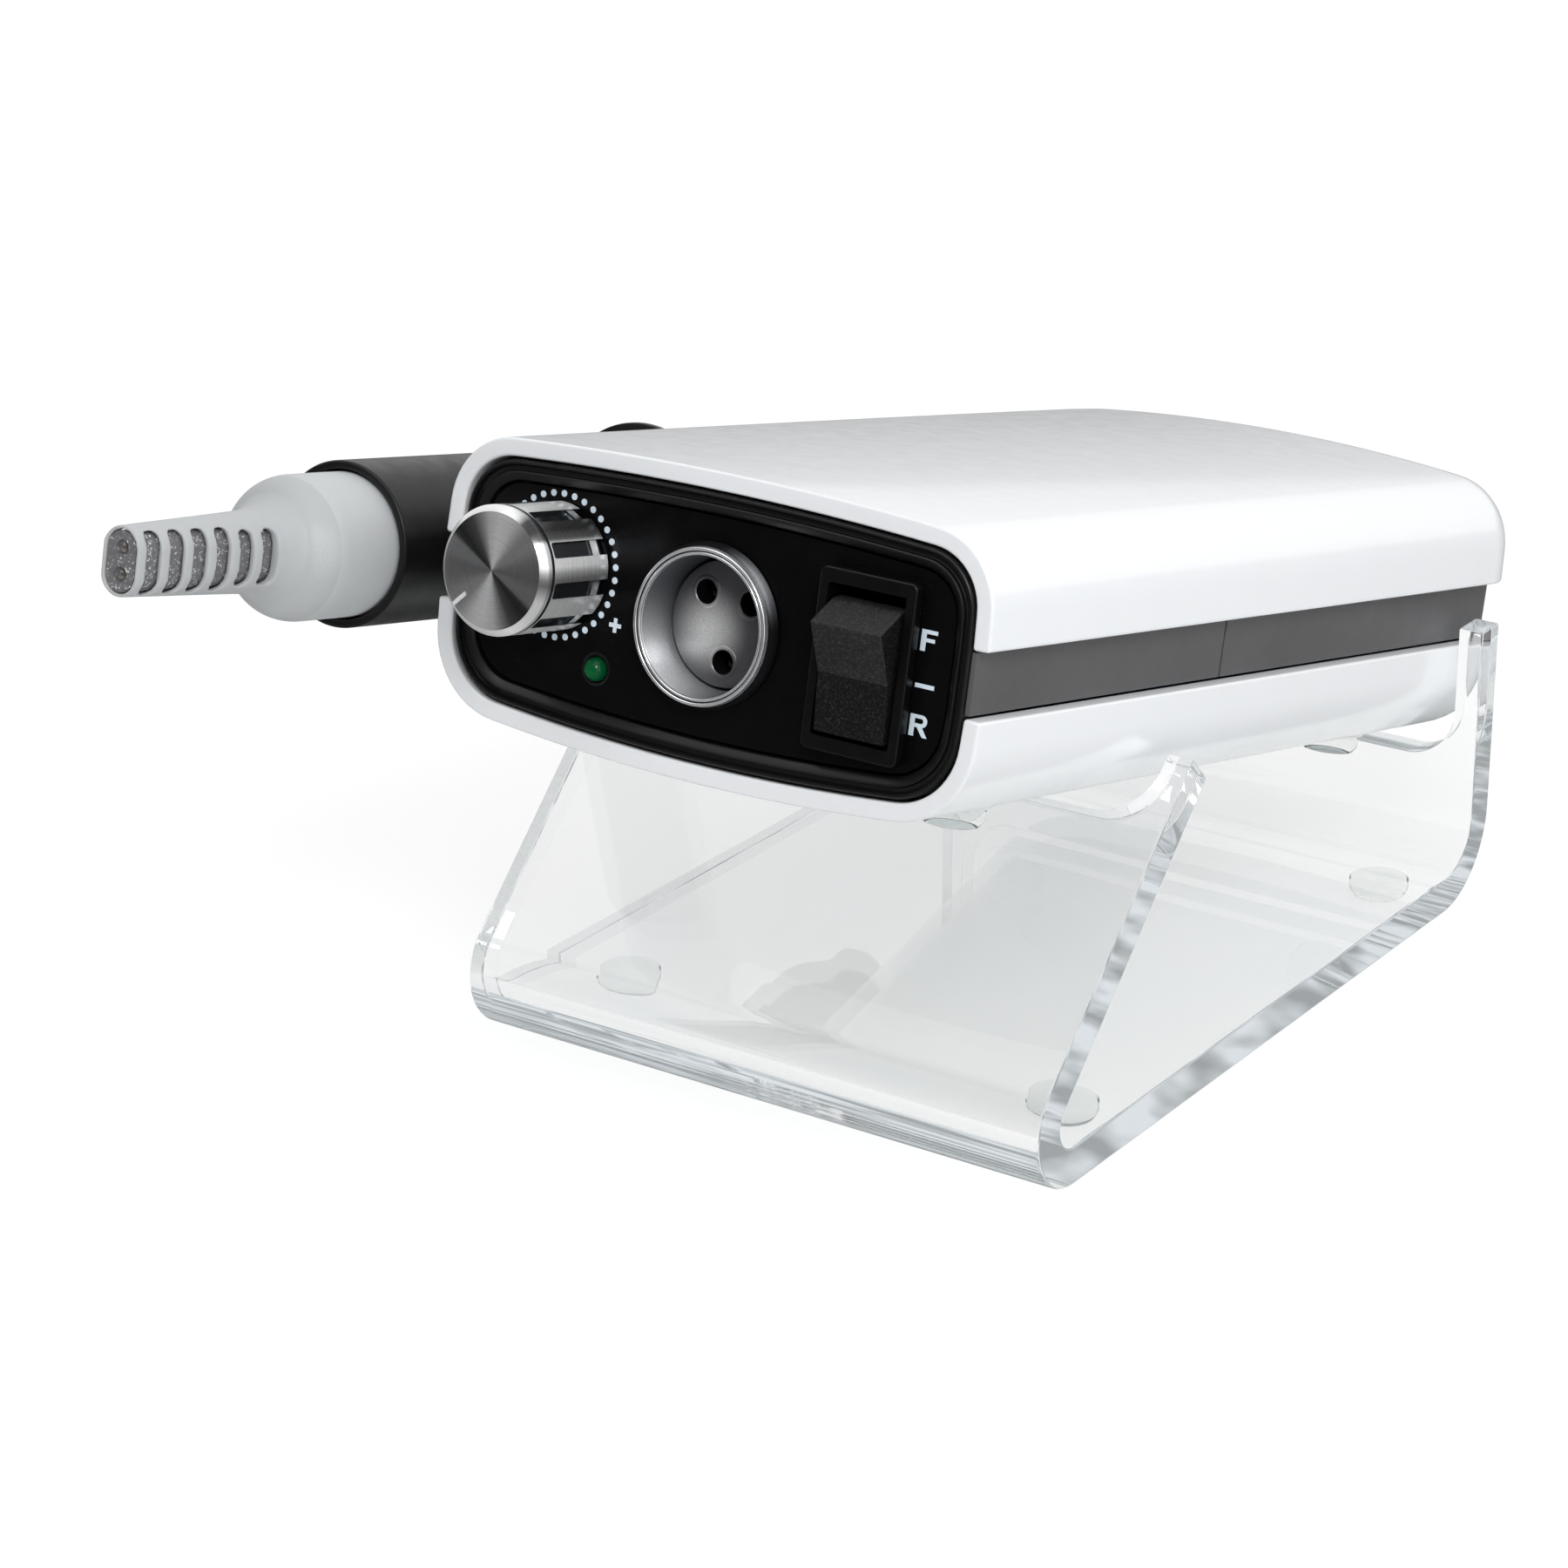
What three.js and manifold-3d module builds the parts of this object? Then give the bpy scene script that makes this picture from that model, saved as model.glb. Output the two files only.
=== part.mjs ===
import * as THREE from 'three';
import { mergeVertices } from 'three/addons/utils/BufferGeometryUtils.js';
import Module from 'manifold-3d';

// Portable nail drill: a control box tilted front up on a bent clear stand, with its motor handpiece parked
// in a ring cradle on the left side. Millimetres. The stand lies in the product frame, X right, Y into the
// depth, Z up. The box has a frame of its own: X right, Y from the front edge to the rear, Z up from the
// middle line of its side band.

const wasm = await Module();
wasm.setup();

// Fits and clearances
const seatGap = 0.3;
const runningGap = 0.35;
const overrun = 2;
const degree = Math.PI / 180;

// Control box, overall form
const boxLength = 144.5;
const boxHalfWidth = 38.2;
const bandHeight = 7.86;
const shellWall = 2.2;
const sideDraftShare = 0.045;
const upperCrown = 17.65;
const upperCrownRear = 18.55;
const upperCrownRadius = 440;
const upperCrownRadiusRear = 255;
const upperCorner = 9;
const lowerCrown = 18.65;
const lowerCrownRadius = 290;
const lowerCorner = 10.5;
const rearCorner = 11.3;
const rearEdge = 5.7;
const smallestCorner = 1.2;

// Box attitude and place on the stand
const boxPitch = 12.66 * degree;
const boxFrontY = -5.9;
const boxBandZ = 66.54;

// Side band
const bandRecess = 1.8;
const bandClearance = 0.33;
const frameTongueHeight = 6.5;
const frameTongueWall = 2.2;
const railCoverFront = 0.6;
const railCoverEnd = 59.3;
const railCoverWall = 0.7;
const jackHole = 3.2;

// Case screws, their bosses and the box feet over them
const bossSideInset = 14.2;
const bossX = boxHalfWidth - bossSideInset;
const bossFrontY = 21;
const bossRearShare = 0.8235;
const bossRearY = boxLength * bossRearShare;
const bossRadius = 3.5;
const screwShankRadius = 1.3;
const screwShankLength = 22;
const screwHeadRadius = 2.7;
const screwHeadHeight = 1.8;
const screwHeadSink = 3;
const screwSocketRadius = 1.1;
const screwSocketDepth = 1.1;
const padRadius = 4.6;
const padFace = 18.1;
const padRoot = 16.4;
const bumperRadius = 4;
const bumperFootRadius = 3.2;
const bumperHeight = 2.2;
const bumperShoulder = 0.9;

// Front frame and panel
const frameOuterInset = 2.5;
const frameLipInset = 2.75;
const frameLipInner = 3.05;
const frameGrooveOuter = 3.15;
const frameGrooveInner = 3.8;
const frameBorderInset = 3.95;
const frameOpeningInset = 5;
const frameLedgeInset = 5.9;
const frameSkirtInset = 4.7;
const frameLipY = 0.2;
const frameLipShoulderY = 0.5;
const frameGrooveY = 0.95;
const frameBorderY = 0.35;
const frameOpeningY = 0.95;
const frameLedgeY = 3.5;
const frameLedgeBackY = 5;
const frameBackY = 8;
const frameCornerShare = 0.75;
const panelFaceY = 1.2;
const panelThickness = 2;

// Speed knob and its potentiometer
const knobX = -22.2;
const knobZ = 2.67;
const knobFaceRadius = 7.65;
const knobLength = 12.65;
const knobChamfer = 0.5;
const knobRingStart = 1.5;
const knobRingWidth = 0.5;
const knobRingDepth = 0.35;
const knobCollarLength = 1.3;
const knobCollarRadius = 7.1;
const knobFluteCount = 10;
const knobFluteTurn = 73.5 * degree;
const knobFluteWidth = 1.9;
const knobFluteDepth = 0.55;
const knobFluteStart = 3;
const knobFluteLength = 8;
const knobPointerWidth = 0.45;
const knobPointerDepth = 0.25;
const knobPointerInnerShare = 0.62;
const knobPointerAngle = 224 * degree;
const knobRecessRadius = 6.2;
const knobRecessDepth = 3.6;
const knobFaceThickness = 1.4;
const sleeveRadius = 5;
const shaftRadius = 3;
const shaftEndY = 4.2;
const shaftSlotWidth = 0.9;
const shaftSlotLength = 5;
const bushingRadius = 3.85;
const bushingFrontY = -2.2;
const potRadius = 8.2;
const potFrontY = 5.5;
const potLength = 7;
const nutFlats = 10;
const nutThickness = 2;

// Status light
const ledX = -14.9;
const ledZ = -8.4;
const ledRadius = 1.45;
const ledHoleRadius = 1.95;
const ledFlangeRadius = 1.75;
const ledFlangeLength = 0.9;
const ledBodyLength = 2.8;
const ledHolderRadius = 3.2;
const ledHolderLength = 3.5;

// Handpiece socket
const socketX = 0.1;
const socketZ = -0.35;
const socketRimY = -1.1;
const socketRimRadius = 9.1;
const socketBaseRadius = 9.84;
const socketMouthRadius = 8.25;
const socketFloorRadius = 7.85;
const socketFloorY = 4.5;
const socketBarrelRadius = 8.8;
const socketBackY = 13;
const socketRimRise = 0.35;
const socketRimBand = 0.3;
const insertBackY = 11;
const insertChamfer = 0.4;
const contactHoleRadius = 1.35;
const contactCircleRadius = 4.45;
const contactAngles = [132 * degree, 42 * degree, 275 * degree];
const contactRadius = 1.02;
const contactBore = 0.55;
const contactFrontY = 5.6;
const contactBackY = 14.5;

// Rocker switch
const switchX = 22.04;
const switchZ = -0.62;
const bezelHalfWidth = 6.5;
const bezelHalfHeight = 10.5;
const bezelFrontY = -0.8;
const bezelChamfer = 0.35;
const bezelCorner = 0.9;
const switchBodyHalfWidth = 5.95;
const switchBodyHalfHeight = 9.3;
const switchBodyBackY = 15.5;
const switchBodyCorner = 0.4;
const windowHalfWidth = 5.2;
const windowHalfHeight = 8.75;
const windowCorner = 0.3;
const windowDepthY = 9.5;
const rockerPivotY = 3.9;
const rockerTilt = 15.15 * degree;
const rockerHalfWidth = 4.7;
const rockerCrease = 5.74;
const rockerFaceReach = 6.95;
const rockerFaceHalf = 6.65;
const rockerEndReach = 2.4;
const rockerEndHalf = 7.9;
const rockerBaseReach = 0.6;
const rockerBaseHalf = 7.7;
const pivotPinRadius = 1.2;
const pivotPinLength = 0.9;
const bladeHalfWidth = 2.4;
const bladeHalfThick = 0.4;
const bladeLength = 1.6;
const bladeSpacing = 5;

// Electronics and battery inside the box
const boardHalfWidth = 31;
const boardFrontY = 27;
const boardRearInset = 7;
const boardRearY = bossRearY - boardRearInset;
const boardZ = 5;
const boardThickness = 1.6;
const boardPostX = 27;
const boardPostInset = 5;
const boardPostRadius = 2.6;
const boardHoleRadius = 1.5;
const sinkHalfWidth = 10;
const sinkLength = 20;
const sinkFrontY = 62;
const sinkHeight = 6;
const sinkBase = 1.4;
const sinkFinCount = 6;
const sinkFinGap = 1.9;
const capacitorRadius = 3.2;
const capacitorHeight = 5.6;
const capacitorX = -16;
const capacitorY = 72;
const cellRadius = 9.2;
const cellLength = 65;
const cellPitch = 19.4;
const cellZ = -4.9;
const cellTipRadius = 3;
const cellTipLength = 1;
const cellFrontY = bossRearY - bossRadius - seatGap - cellTipLength - cellLength;
const holderFloor = 1.2;
const holderRise = 7;
const holderMargin = 0.9;
const holderCorner = 3;
const jackBodyHalf = 4.5;
const jackBodyLength = 11;
const jackNoseRadius = 2.9;
const jackBoreRadius = 1.9;
const jackBoreDepth = 9;
const jackPinRadius = 0.65;

// Handpiece, on an axis beside the box
const penSideDistance = 11.8;
const penX = -(boxHalfWidth + penSideDistance);
const penZ = 0.4;
const penRearY = -5;
const penRadius = 10.1;
const penGripStartY = 64;
const penGripEndY = 86;
const penGripRadius = 8.7;
const penLipRadius = 0.8;
const penPlugBore = 9.05;
const penPlugDepth = 9;
const penMotorBore = 8.7;
const penMotorEndY = 53;
const penNeckBore = 6.5;
const reliefDrumRadius = 8.75;
const reliefDrumLength = 8.6;
const reliefShoulder = 3.4;
const reliefFaceY = -18.6;
const reliefTipY = -43.8;
const reliefTipHalfHeight = 4.1;
const reliefTipHalfWidth = 2.75;
const reliefRootHalfHeight = 4.9;
const reliefRootHalfWidth = 4.4;
const reliefFlare = 2.6;
const reliefFlareLength = 4;
const coreHalfHeight = 3.3;
const coreHalfWidth = 1.85;
const coreInnerY = 3;
const slotCount = 6;
const slotFirstY = -40.4;
const slotPitch = 3.75;
const slotWidth = 1.6;
const slotHalfHeight = 3.1;
const motorRadius = 8.4;
const motorRearY = 5;
const motorFrontY = 52;
const motorFloor = 2;
const motorBore = 6.6;
const bearingRadius = 6.3;
const bearingWidth = 4;
const bearingInset = 1;
const spindleRadius = 2;
const rotorRadius = 5.6;
const rotorMargin = 2;
const spindleRearGap = 0.8;
const spindleFrontY = 88;
const twistLength = 11.7;
const twistStartY = penGripEndY + seatGap;
const twistEndY = twistStartY + twistLength;
const twistRadius = 8.4;
const twistRidge = 0.3;
const twistRidgeCount = 16;
const noseStemRadius = 6.2;
const noseStemStartY = 74;
const noseRadius = 8;
const noseTipRadius = 4.4;
const noseTipY = 113;
const noseBore = 3.6;
const colletRadius = 3.2;
const colletTipY = 114.6;
const colletBore = 1.2;
const colletChamfer = 0.6;

// Ring cradle that parks the handpiece on the left side of the box
const cradleStartY = 46;
const cradleEndY = 57;
const cradleRadius = 11.6;
const cradleRimRadius = 13;
const cradleRimWidth = 1.5;
const cradleEdge = 0.6;
const cradleBaseLength = 9.5;

// Clear stand, bent from one sheet
const sheet = 5.1;
const notchSideWidth = 3.55;
const notchHalfWidth = boxHalfWidth + seatGap;
const standHalfWidth = notchHalfWidth + notchSideWidth;
const frontBendRadius = 8.3;
const frontBendY = 9.7;
const frontWallAngle = 45 * degree;
const frontWallTop = 45.7;
const rearBendRadius = 12;
const rearWallSetback = 0.2;
const rearWallY = bossRearY + rearWallSetback;
const rearWallTop = 38.2;
const notchCorner = 7;
const standFootSideInset = 9.65;
const standFootX = standHalfWidth - standFootSideInset;
const standFootFrontY = 24;
const standFootRearInset = 12.7;
const standFootRearY = rearWallY - standFootRearInset;

// Facet counts
const cornerSteps = 5;
const crownSteps = 3;
const rearSteps = 4;
const fineRoundSteps = 36;
const roundSteps = 28;
const smallRoundSteps = 12;
const bendSteps = 8;

// Finishes
const finishes = {
  acrylic: { color: 0xeef3f5, roughness: 0.05, metalness: 0, transparent: true, opacity: 0.35 },
  clearRubber: { color: 0xe4e8e6, roughness: 0.4, metalness: 0, transparent: true, opacity: 0.6 },
  whiteShell: { color: 0xeef1f2, roughness: 0.25, metalness: 0 },
  greyBand: { color: 0x505052, roughness: 0.45, metalness: 0 },
  blackFrame: { color: 0x101012, roughness: 0.35, metalness: 0 },
  glossBlack: { color: 0x08080a, roughness: 0.12, metalness: 0 },
  aluminium: { color: 0xd4d8dc, roughness: 0.25, metalness: 1 },
  satinSilver: { color: 0x9aa0a4, roughness: 0.4, metalness: 0.8 },
  brass: { color: 0xb08d4a, roughness: 0.35, metalness: 1 },
  greenLens: { color: 0x0f6b33, roughness: 0.2, metalness: 0 },
  charcoal: { color: 0x2b2b2c, roughness: 0.6, metalness: 0 },
  steel: { color: 0xb8bcc0, roughness: 0.35, metalness: 1 },
  board: { color: 0x1d5a35, roughness: 0.5, metalness: 0 },
  cellWrap: { color: 0x2f6fb0, roughness: 0.45, metalness: 0 },
  matteBlack: { color: 0x1b1b1c, roughness: 0.5, metalness: 0 },
  greyRubber: { color: 0xa9acac, roughness: 0.6, metalness: 0 },
  darkCore: { color: 0x4a4c4e, roughness: 0.7, metalness: 0 },
};

// Geometry tools

// Turns a closed three.js geometry into a solid, with its faces pointing out.
function solidOf(geometry) {
  const bare = geometry.clone();
  for (const name of ['normal', 'uv', 'uv1', 'color']) {
    if (bare.getAttribute(name)) bare.deleteAttribute(name);
  }
  const merged = mergeVertices(bare);
  const positions = new Float32Array(merged.getAttribute('position').array);
  const index = Uint32Array.from(merged.getIndex().array);
  const kept = withoutSlivers(index);
  if (signedVolume(positions, kept) < 0) {
    for (let i = 0; i < kept.length; i += 3) {
      [kept[i + 1], kept[i + 2]] = [kept[i + 2], kept[i + 1]];
    }
  }
  return new wasm.Manifold(new wasm.Mesh({ numProp: 3, vertProperties: positions, triVerts: kept }));
}

// Drops triangles that lost a corner when their vertices merged.
function withoutSlivers(index) {
  const kept = [];
  for (let i = 0; i < index.length; i += 3) {
    const [a, b, c] = [index[i], index[i + 1], index[i + 2]];
    if (a !== b && b !== c && c !== a) kept.push(a, b, c);
  }
  return Uint32Array.from(kept);
}

function signedVolume(positions, index) {
  const [a, b, c] = [new THREE.Vector3(), new THREE.Vector3(), new THREE.Vector3()];
  let sum = 0;
  for (let i = 0; i < index.length; i += 3) {
    a.fromArray(positions, index[i] * 3);
    b.fromArray(positions, index[i + 1] * 3);
    c.fromArray(positions, index[i + 2] * 3);
    sum += a.dot(b.cross(c));
  }
  return sum;
}

function cut(solid, ...tools) {
  return tools.reduce((rest, tool) => rest.subtract(tool), solid);
}

function join(solid, ...more) {
  return more.reduce((all, next) => all.add(next), solid);
}

function movedBy(geometry, x, y, z) {
  return geometry.translate(x, y, z);
}

// A block between two opposite corners.
function block([x0, y0, z0], [x1, y1, z1]) {
  const geometry = new THREE.BoxGeometry(x1 - x0, y1 - y0, z1 - z0);
  return solidOf(movedBy(geometry, (x0 + x1) / 2, (y0 + y1) / 2, (z0 + z1) / 2));
}

// A solid turned about a line parallel to Y through (x, z). The profile holds [radius, y] pairs.
function turned(profile, x, z, steps = roundSteps) {
  const points = profile.map(([radius, y]) => new THREE.Vector2(radius, y));
  return solidOf(movedBy(new THREE.LatheGeometry(points, steps), x, 0, z));
}

// A plain tube between two radii and two stations along Y.
function tubeAlongY(inner, outer, y0, y1, x, z, steps = roundSteps) {
  return turned([[inner, y0], [outer, y0], [outer, y1], [inner, y1], [inner, y0]], x, z, steps);
}

function rodAlongY(radius, y0, y1, x, z, steps = smallRoundSteps) {
  return turned([[0, y0], [radius, y0], [radius, y1], [0, y1]], x, z, steps);
}

// An upright solid turned about a vertical line through (x, y). The profile holds [radius, z] pairs.
function turnedUpright(profile, x, y, steps = smallRoundSteps) {
  const points = profile.map(([radius, z]) => new THREE.Vector2(radius, z));
  return solidOf(movedBy(new THREE.LatheGeometry(points, steps).rotateX(Math.PI / 2), x, y, 0));
}

function rodUpright(radius, z0, z1, x, y, steps = smallRoundSteps) {
  return turnedUpright([[0, z0], [radius, z0], [radius, z1], [0, z1]], x, y, steps);
}

// A loft through outlines of equal count, each a list of 3-D points. Open ends get flat caps; a closed loft
// joins its last outline to its first.
function loft(outlines, closed = false) {
  const count = outlines[0].length;
  const vertices = outlines.flat();
  const index = [];
  const rings = closed ? outlines.length : outlines.length - 1;
  for (let ring = 0; ring < rings; ring++) {
    const next = (ring + 1) % outlines.length;
    for (let i = 0; i < count; i++) {
      const j = (i + 1) % count;
      const [a, b] = [ring * count + i, ring * count + j];
      const [c, d] = [next * count + j, next * count + i];
      index.push(a, b, c, a, c, d);
    }
  }
  if (!closed) {
    const flat = outlines[0].map(([x, , z]) => new THREE.Vector2(x, z));
    const last = (outlines.length - 1) * count;
    const turnedOver = THREE.ShapeUtils.isClockWise(flat);
    for (const [a, b, c] of THREE.ShapeUtils.triangulateShape(flat, [])) {
      const [p, q] = turnedOver ? [c, b] : [b, c];
      index.push(a, q, p, last + a, last + p, last + q);
    }
  }
  const geometry = new THREE.BufferGeometry();
  geometry.setAttribute('position', new THREE.Float32BufferAttribute(vertices.flat(), 3));
  geometry.setIndex(index);
  return solidOf(geometry);
}

// A loft along Y: each station is [y, outline], and an outline holds [x, z] pairs.
function loftAlongY(stations) {
  return loft(stations.map(([y, outline]) => outline.map(([x, z]) => [x, y, z])));
}

// A rectangle with round corners, as [x, z] pairs about a centre.
function roundedRectangle(x, z, halfWide, halfHigh, corner, steps = 3) {
  const points = [];
  const centres = [[1, 1], [-1, 1], [-1, -1], [1, -1]];
  centres.forEach(([sx, sz], quarter) => {
    for (let i = 0; i <= steps; i++) {
      const angle = (quarter + i / steps) * Math.PI / 2;
      const cx = x + sx * (halfWide - corner);
      const cz = z + sz * (halfHigh - corner);
      points.push([cx + corner * Math.cos(angle), cz + corner * Math.sin(angle)]);
    }
  });
  return points;
}

// A three.js extrusion of an outline in the XZ plane, from y0 to y1.
function extrudedAlongY(outline, y0, y1) {
  return loftAlongY([[y0, outline], [y1, outline]]);
}

// The box's cross-section

// Half of a shell's section, as [x, height] pairs from the right seam over the crown to the left seam:
// drafted side, corner arc and a shallow crown arc that meet without a kink.
function shellArc({ halfWide, crown, corner, crownRadius, seam }) {
  const slant = Math.hypot(1, sideDraftShare);
  const crownCentre = crown - crownRadius;
  let cornerX = halfWide - corner;
  let cornerZ = crown - corner;
  for (let pass = 0; pass < 6; pass++) {
    cornerZ = crownCentre + Math.sqrt((crownRadius - corner) ** 2 - cornerX ** 2);
    cornerX = halfWide - (cornerZ - seam) * sideDraftShare - corner * slant;
  }
  const sideAngle = Math.atan(sideDraftShare);
  const topAngle = Math.atan2(cornerZ - crownCentre, cornerX);
  const half = [[halfWide, seam]];
  for (let i = 0; i <= cornerSteps; i++) {
    const angle = sideAngle + (topAngle - sideAngle) * i / cornerSteps;
    half.push([cornerX + corner * Math.cos(angle), cornerZ + corner * Math.sin(angle)]);
  }
  for (let i = 1; i <= crownSteps; i++) {
    const angle = topAngle + (Math.PI / 2 - topAngle) * i / crownSteps;
    half.push([crownRadius * Math.cos(angle), crownCentre + crownRadius * Math.sin(angle)]);
  }
  const mirrored = half.slice(0, -1).reverse().map(([x, z]) => [-x, z]);
  return [...half, ...mirrored];
}

// Shape values of the upper and the lower shell at a station along the box.
function upperForm(y) {
  const share = THREE.MathUtils.clamp(y / boxLength, 0, 1);
  return {
    crown: THREE.MathUtils.lerp(upperCrown, upperCrownRear, share),
    crownRadius: THREE.MathUtils.lerp(upperCrownRadius, upperCrownRadiusRear, share),
    corner: upperCorner,
  };
}

function lowerForm() {
  return { crown: lowerCrown, crownRadius: lowerCrownRadius, corner: lowerCorner };
}

// The shell's outline at a station, drawn in by an inset and rounded off towards the rear end.
function shellOutline(form, y, inset, seam) {
  const { crown, crownRadius, corner } = form(y);
  const length = boxLength - inset;
  const planCorner = rearCorner - inset;
  const edge = rearEdge - inset;
  const intoCorner = Math.max(0, y - (length - planCorner));
  const intoEdge = Math.max(0, y - (length - edge));
  const narrow = planCorner - Math.sqrt(Math.max(0, planCorner ** 2 - intoCorner ** 2));
  const low = edge - Math.sqrt(Math.max(0, edge ** 2 - intoEdge ** 2));
  const top = crown - inset - low;
  const share = (top - seam) / (crown - inset - seam);
  return shellArc({
    halfWide: boxHalfWidth - inset - narrow,
    crown: top,
    corner: Math.max(smallestCorner, (corner - inset) * share),
    crownRadius: crownRadius - inset,
    seam,
  });
}

// Stations along a shell: the straight run, then closer steps round the rear end.
function shellStations(start, inset) {
  const length = boxLength - inset;
  const planCorner = rearCorner - inset;
  const stations = [start];
  for (let i = 0; i <= rearSteps; i++) {
    const angle = Math.PI / 2 * i / rearSteps;
    stations.push(length - planCorner + planCorner * Math.sin(angle));
  }
  return stations;
}

// One hollow shell half, open at the front and at the seam. The lower one is the same form turned over.
function shellHalf(form, sign) {
  const seam = bandHeight / 2;
  const flip = (outline) => outline.map(([x, z]) => [x, sign * z]);
  const outer = shellStations(0, 0).map((y) => [y, flip(shellOutline(form, y, 0, seam))]);
  const inner = shellStations(-overrun, shellWall).map((y) => {
    const arc = shellOutline(form, y, shellWall, seam);
    const [first, last] = [arc[0], arc[arc.length - 1]];
    return [y, flip([[first[0], -overrun], ...arc, [last[0], -overrun]])];
  });
  return cut(loftAlongY(outer), loftAlongY(inner));
}

// The lower shell's inner space over a run of its length, drawn in by a further gap.
function lowerCavity(start, end, gap) {
  const arc = shellOutline(lowerForm, start, shellWall + gap, bandHeight / 2);
  return extrudedAlongY(arc.map(([x, z]) => [x, -z]), start - overrun, end + overrun);
}

// Clear height of the hollow shell over a point, measured from the middle line.
function ceilingAt(x, y) {
  const { crown, crownRadius } = upperForm(y);
  return crown - shellWall - crownRadius + Math.sqrt(crownRadius ** 2 - x ** 2);
}

function floorAt(x) {
  return -(lowerCrown - shellWall - lowerCrownRadius + Math.sqrt(lowerCrownRadius ** 2 - x ** 2));
}

// A closed outline round the whole box front, drawn in by an inset, as [x, z] pairs.
function frontOutline(inset) {
  const drawn = ({ crown, crownRadius, corner }) => shellArc({
    halfWide: boxHalfWidth - inset,
    crown: crown - inset,
    corner: corner - inset * frameCornerShare,
    crownRadius: crownRadius - inset,
    seam: bandHeight / 2,
  });
  const upper = drawn(upperForm(0));
  const lower = drawn(lowerForm()).map(([x, z]) => [x, -z]).reverse();
  return [...upper, ...lower];
}

// Shells

const bossPlaces = [[-bossX, bossFrontY], [bossX, bossFrontY], [-bossX, bossRearY], [bossX, bossRearY]];

const postPlaces = [[-boardPostX, boardFrontY + boardPostInset], [boardPostX, boardFrontY + boardPostInset],
  [-boardPostX, boardRearY - boardPostInset], [boardPostX, boardRearY - boardPostInset]];

function screwHeadZ() {
  return -padFace + screwHeadSink;
}

function screwTipZ() {
  return screwHeadZ() + screwShankLength;
}

function makeUpperShell() {
  let shell = shellHalf(upperForm, 1);
  const hole = screwShankRadius + seatGap;
  for (const [x, y] of bossPlaces) {
    const root = ceilingAt(Math.abs(x), y) + shellWall / 2;
    shell = join(shell, rodUpright(bossRadius, seatGap, root, x, y));
    shell = cut(shell, rodUpright(hole, -overrun, screwTipZ() + seatGap, x, y));
  }
  for (const [x, y] of postPlaces) {
    const root = ceilingAt(Math.abs(x), y) + shellWall / 2;
    const foot = boardZ + boardThickness + seatGap;
    shell = join(shell, rodUpright(boardPostRadius, foot, root, x, y));
  }
  return shell;
}

function makeLowerShell() {
  let shell = shellHalf(lowerForm, -1);
  const sink = screwHeadRadius + seatGap;
  for (const [x, y] of bossPlaces) {
    shell = join(shell, rodUpright(bossRadius, floorAt(x) - shellWall / 2, -seatGap, x, y));
    shell = join(shell, rodUpright(padRadius, -padFace, -padRoot, x, y));
    shell = cut(shell, rodUpright(screwShankRadius + seatGap, -padFace - overrun, overrun, x, y));
    shell = cut(shell, rodUpright(sink, -padFace - overrun, screwHeadZ() + seatGap, x, y));
  }
  return shell;
}

function makeCaseScrew(x, y) {
  const head = screwHeadZ();
  const drive = rodUpright(screwSocketRadius, head - screwHeadHeight - overrun,
    head - screwHeadHeight + screwSocketDepth, x, y, 6);
  const body = turnedUpright([
    [0, head - screwHeadHeight],
    [screwHeadRadius, head - screwHeadHeight],
    [screwHeadRadius, head],
    [screwShankRadius, head],
    [screwShankRadius, screwTipZ() - screwShankRadius],
    [0, screwTipZ()],
  ], x, y, 12);
  return cut(body, drive);
}

// A clear round bumper with a flat foot, hung under a face at the given height.
function makeBumper(x, y, faceZ) {
  const top = faceZ - seatGap;
  return turnedUpright([
    [0, top],
    [bumperRadius, top],
    [bumperRadius, top - bumperShoulder],
    [bumperFootRadius, top - bumperHeight],
    [0, top - bumperHeight],
  ], x, y);
}

// Side band

// The band's plan at a distance in from the box's widest line: two sides and a rounded rear.
function bandPlan(inset, frontY) {
  const halfWide = boxHalfWidth - inset;
  const rear = boxLength - inset;
  const corner = rearCorner - inset;
  const half = [[halfWide, frontY]];
  for (let i = 0; i <= rearSteps; i++) {
    const angle = Math.PI / 2 * i / rearSteps;
    half.push([halfWide - corner + corner * Math.cos(angle), rear - corner + corner * Math.sin(angle)]);
  }
  return half;
}

// A strip of the band between two insets, bent round the rear, standing between two heights.
function bandStrip(outerInset, innerInset, frontY, halfHigh) {
  const right = bandPlan(outerInset, frontY);
  const outer = [...right, ...right.slice().reverse().map(([x, y]) => [-x, y])];
  const back = bandPlan(innerInset, frontY);
  const inner = [...back, ...back.slice().reverse().map(([x, y]) => [-x, y])];
  const shape = new THREE.Shape([...outer, ...inner.reverse()].map(([x, y]) => new THREE.Vector2(x, y)));
  const geometry = new THREE.ExtrudeGeometry(shape, { depth: 2 * halfHigh, bevelEnabled: false });
  return solidOf(movedBy(geometry, 0, 0, -halfHigh));
}

function makeMidFrame() {
  const tongueOuter = bandRecess + railCoverWall + seatGap;
  const tongueInner = tongueOuter + frameTongueWall;
  const bandHalf = bandHeight / 2 - bandClearance;
  const tongue = bandStrip(tongueOuter, tongueInner, frameBackY + seatGap, frameTongueHeight);
  const ribInner = (tongueOuter + tongueInner) / 2;
  const rib = bandStrip(bandRecess, ribInner, railCoverEnd + seatGap, bandHalf);
  const hole = rodAlongY(jackHole, boxLength - rearCorner, boxLength + overrun, 0, 0, smallRoundSteps);
  return cut(join(tongue, rib), hole);
}

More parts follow.
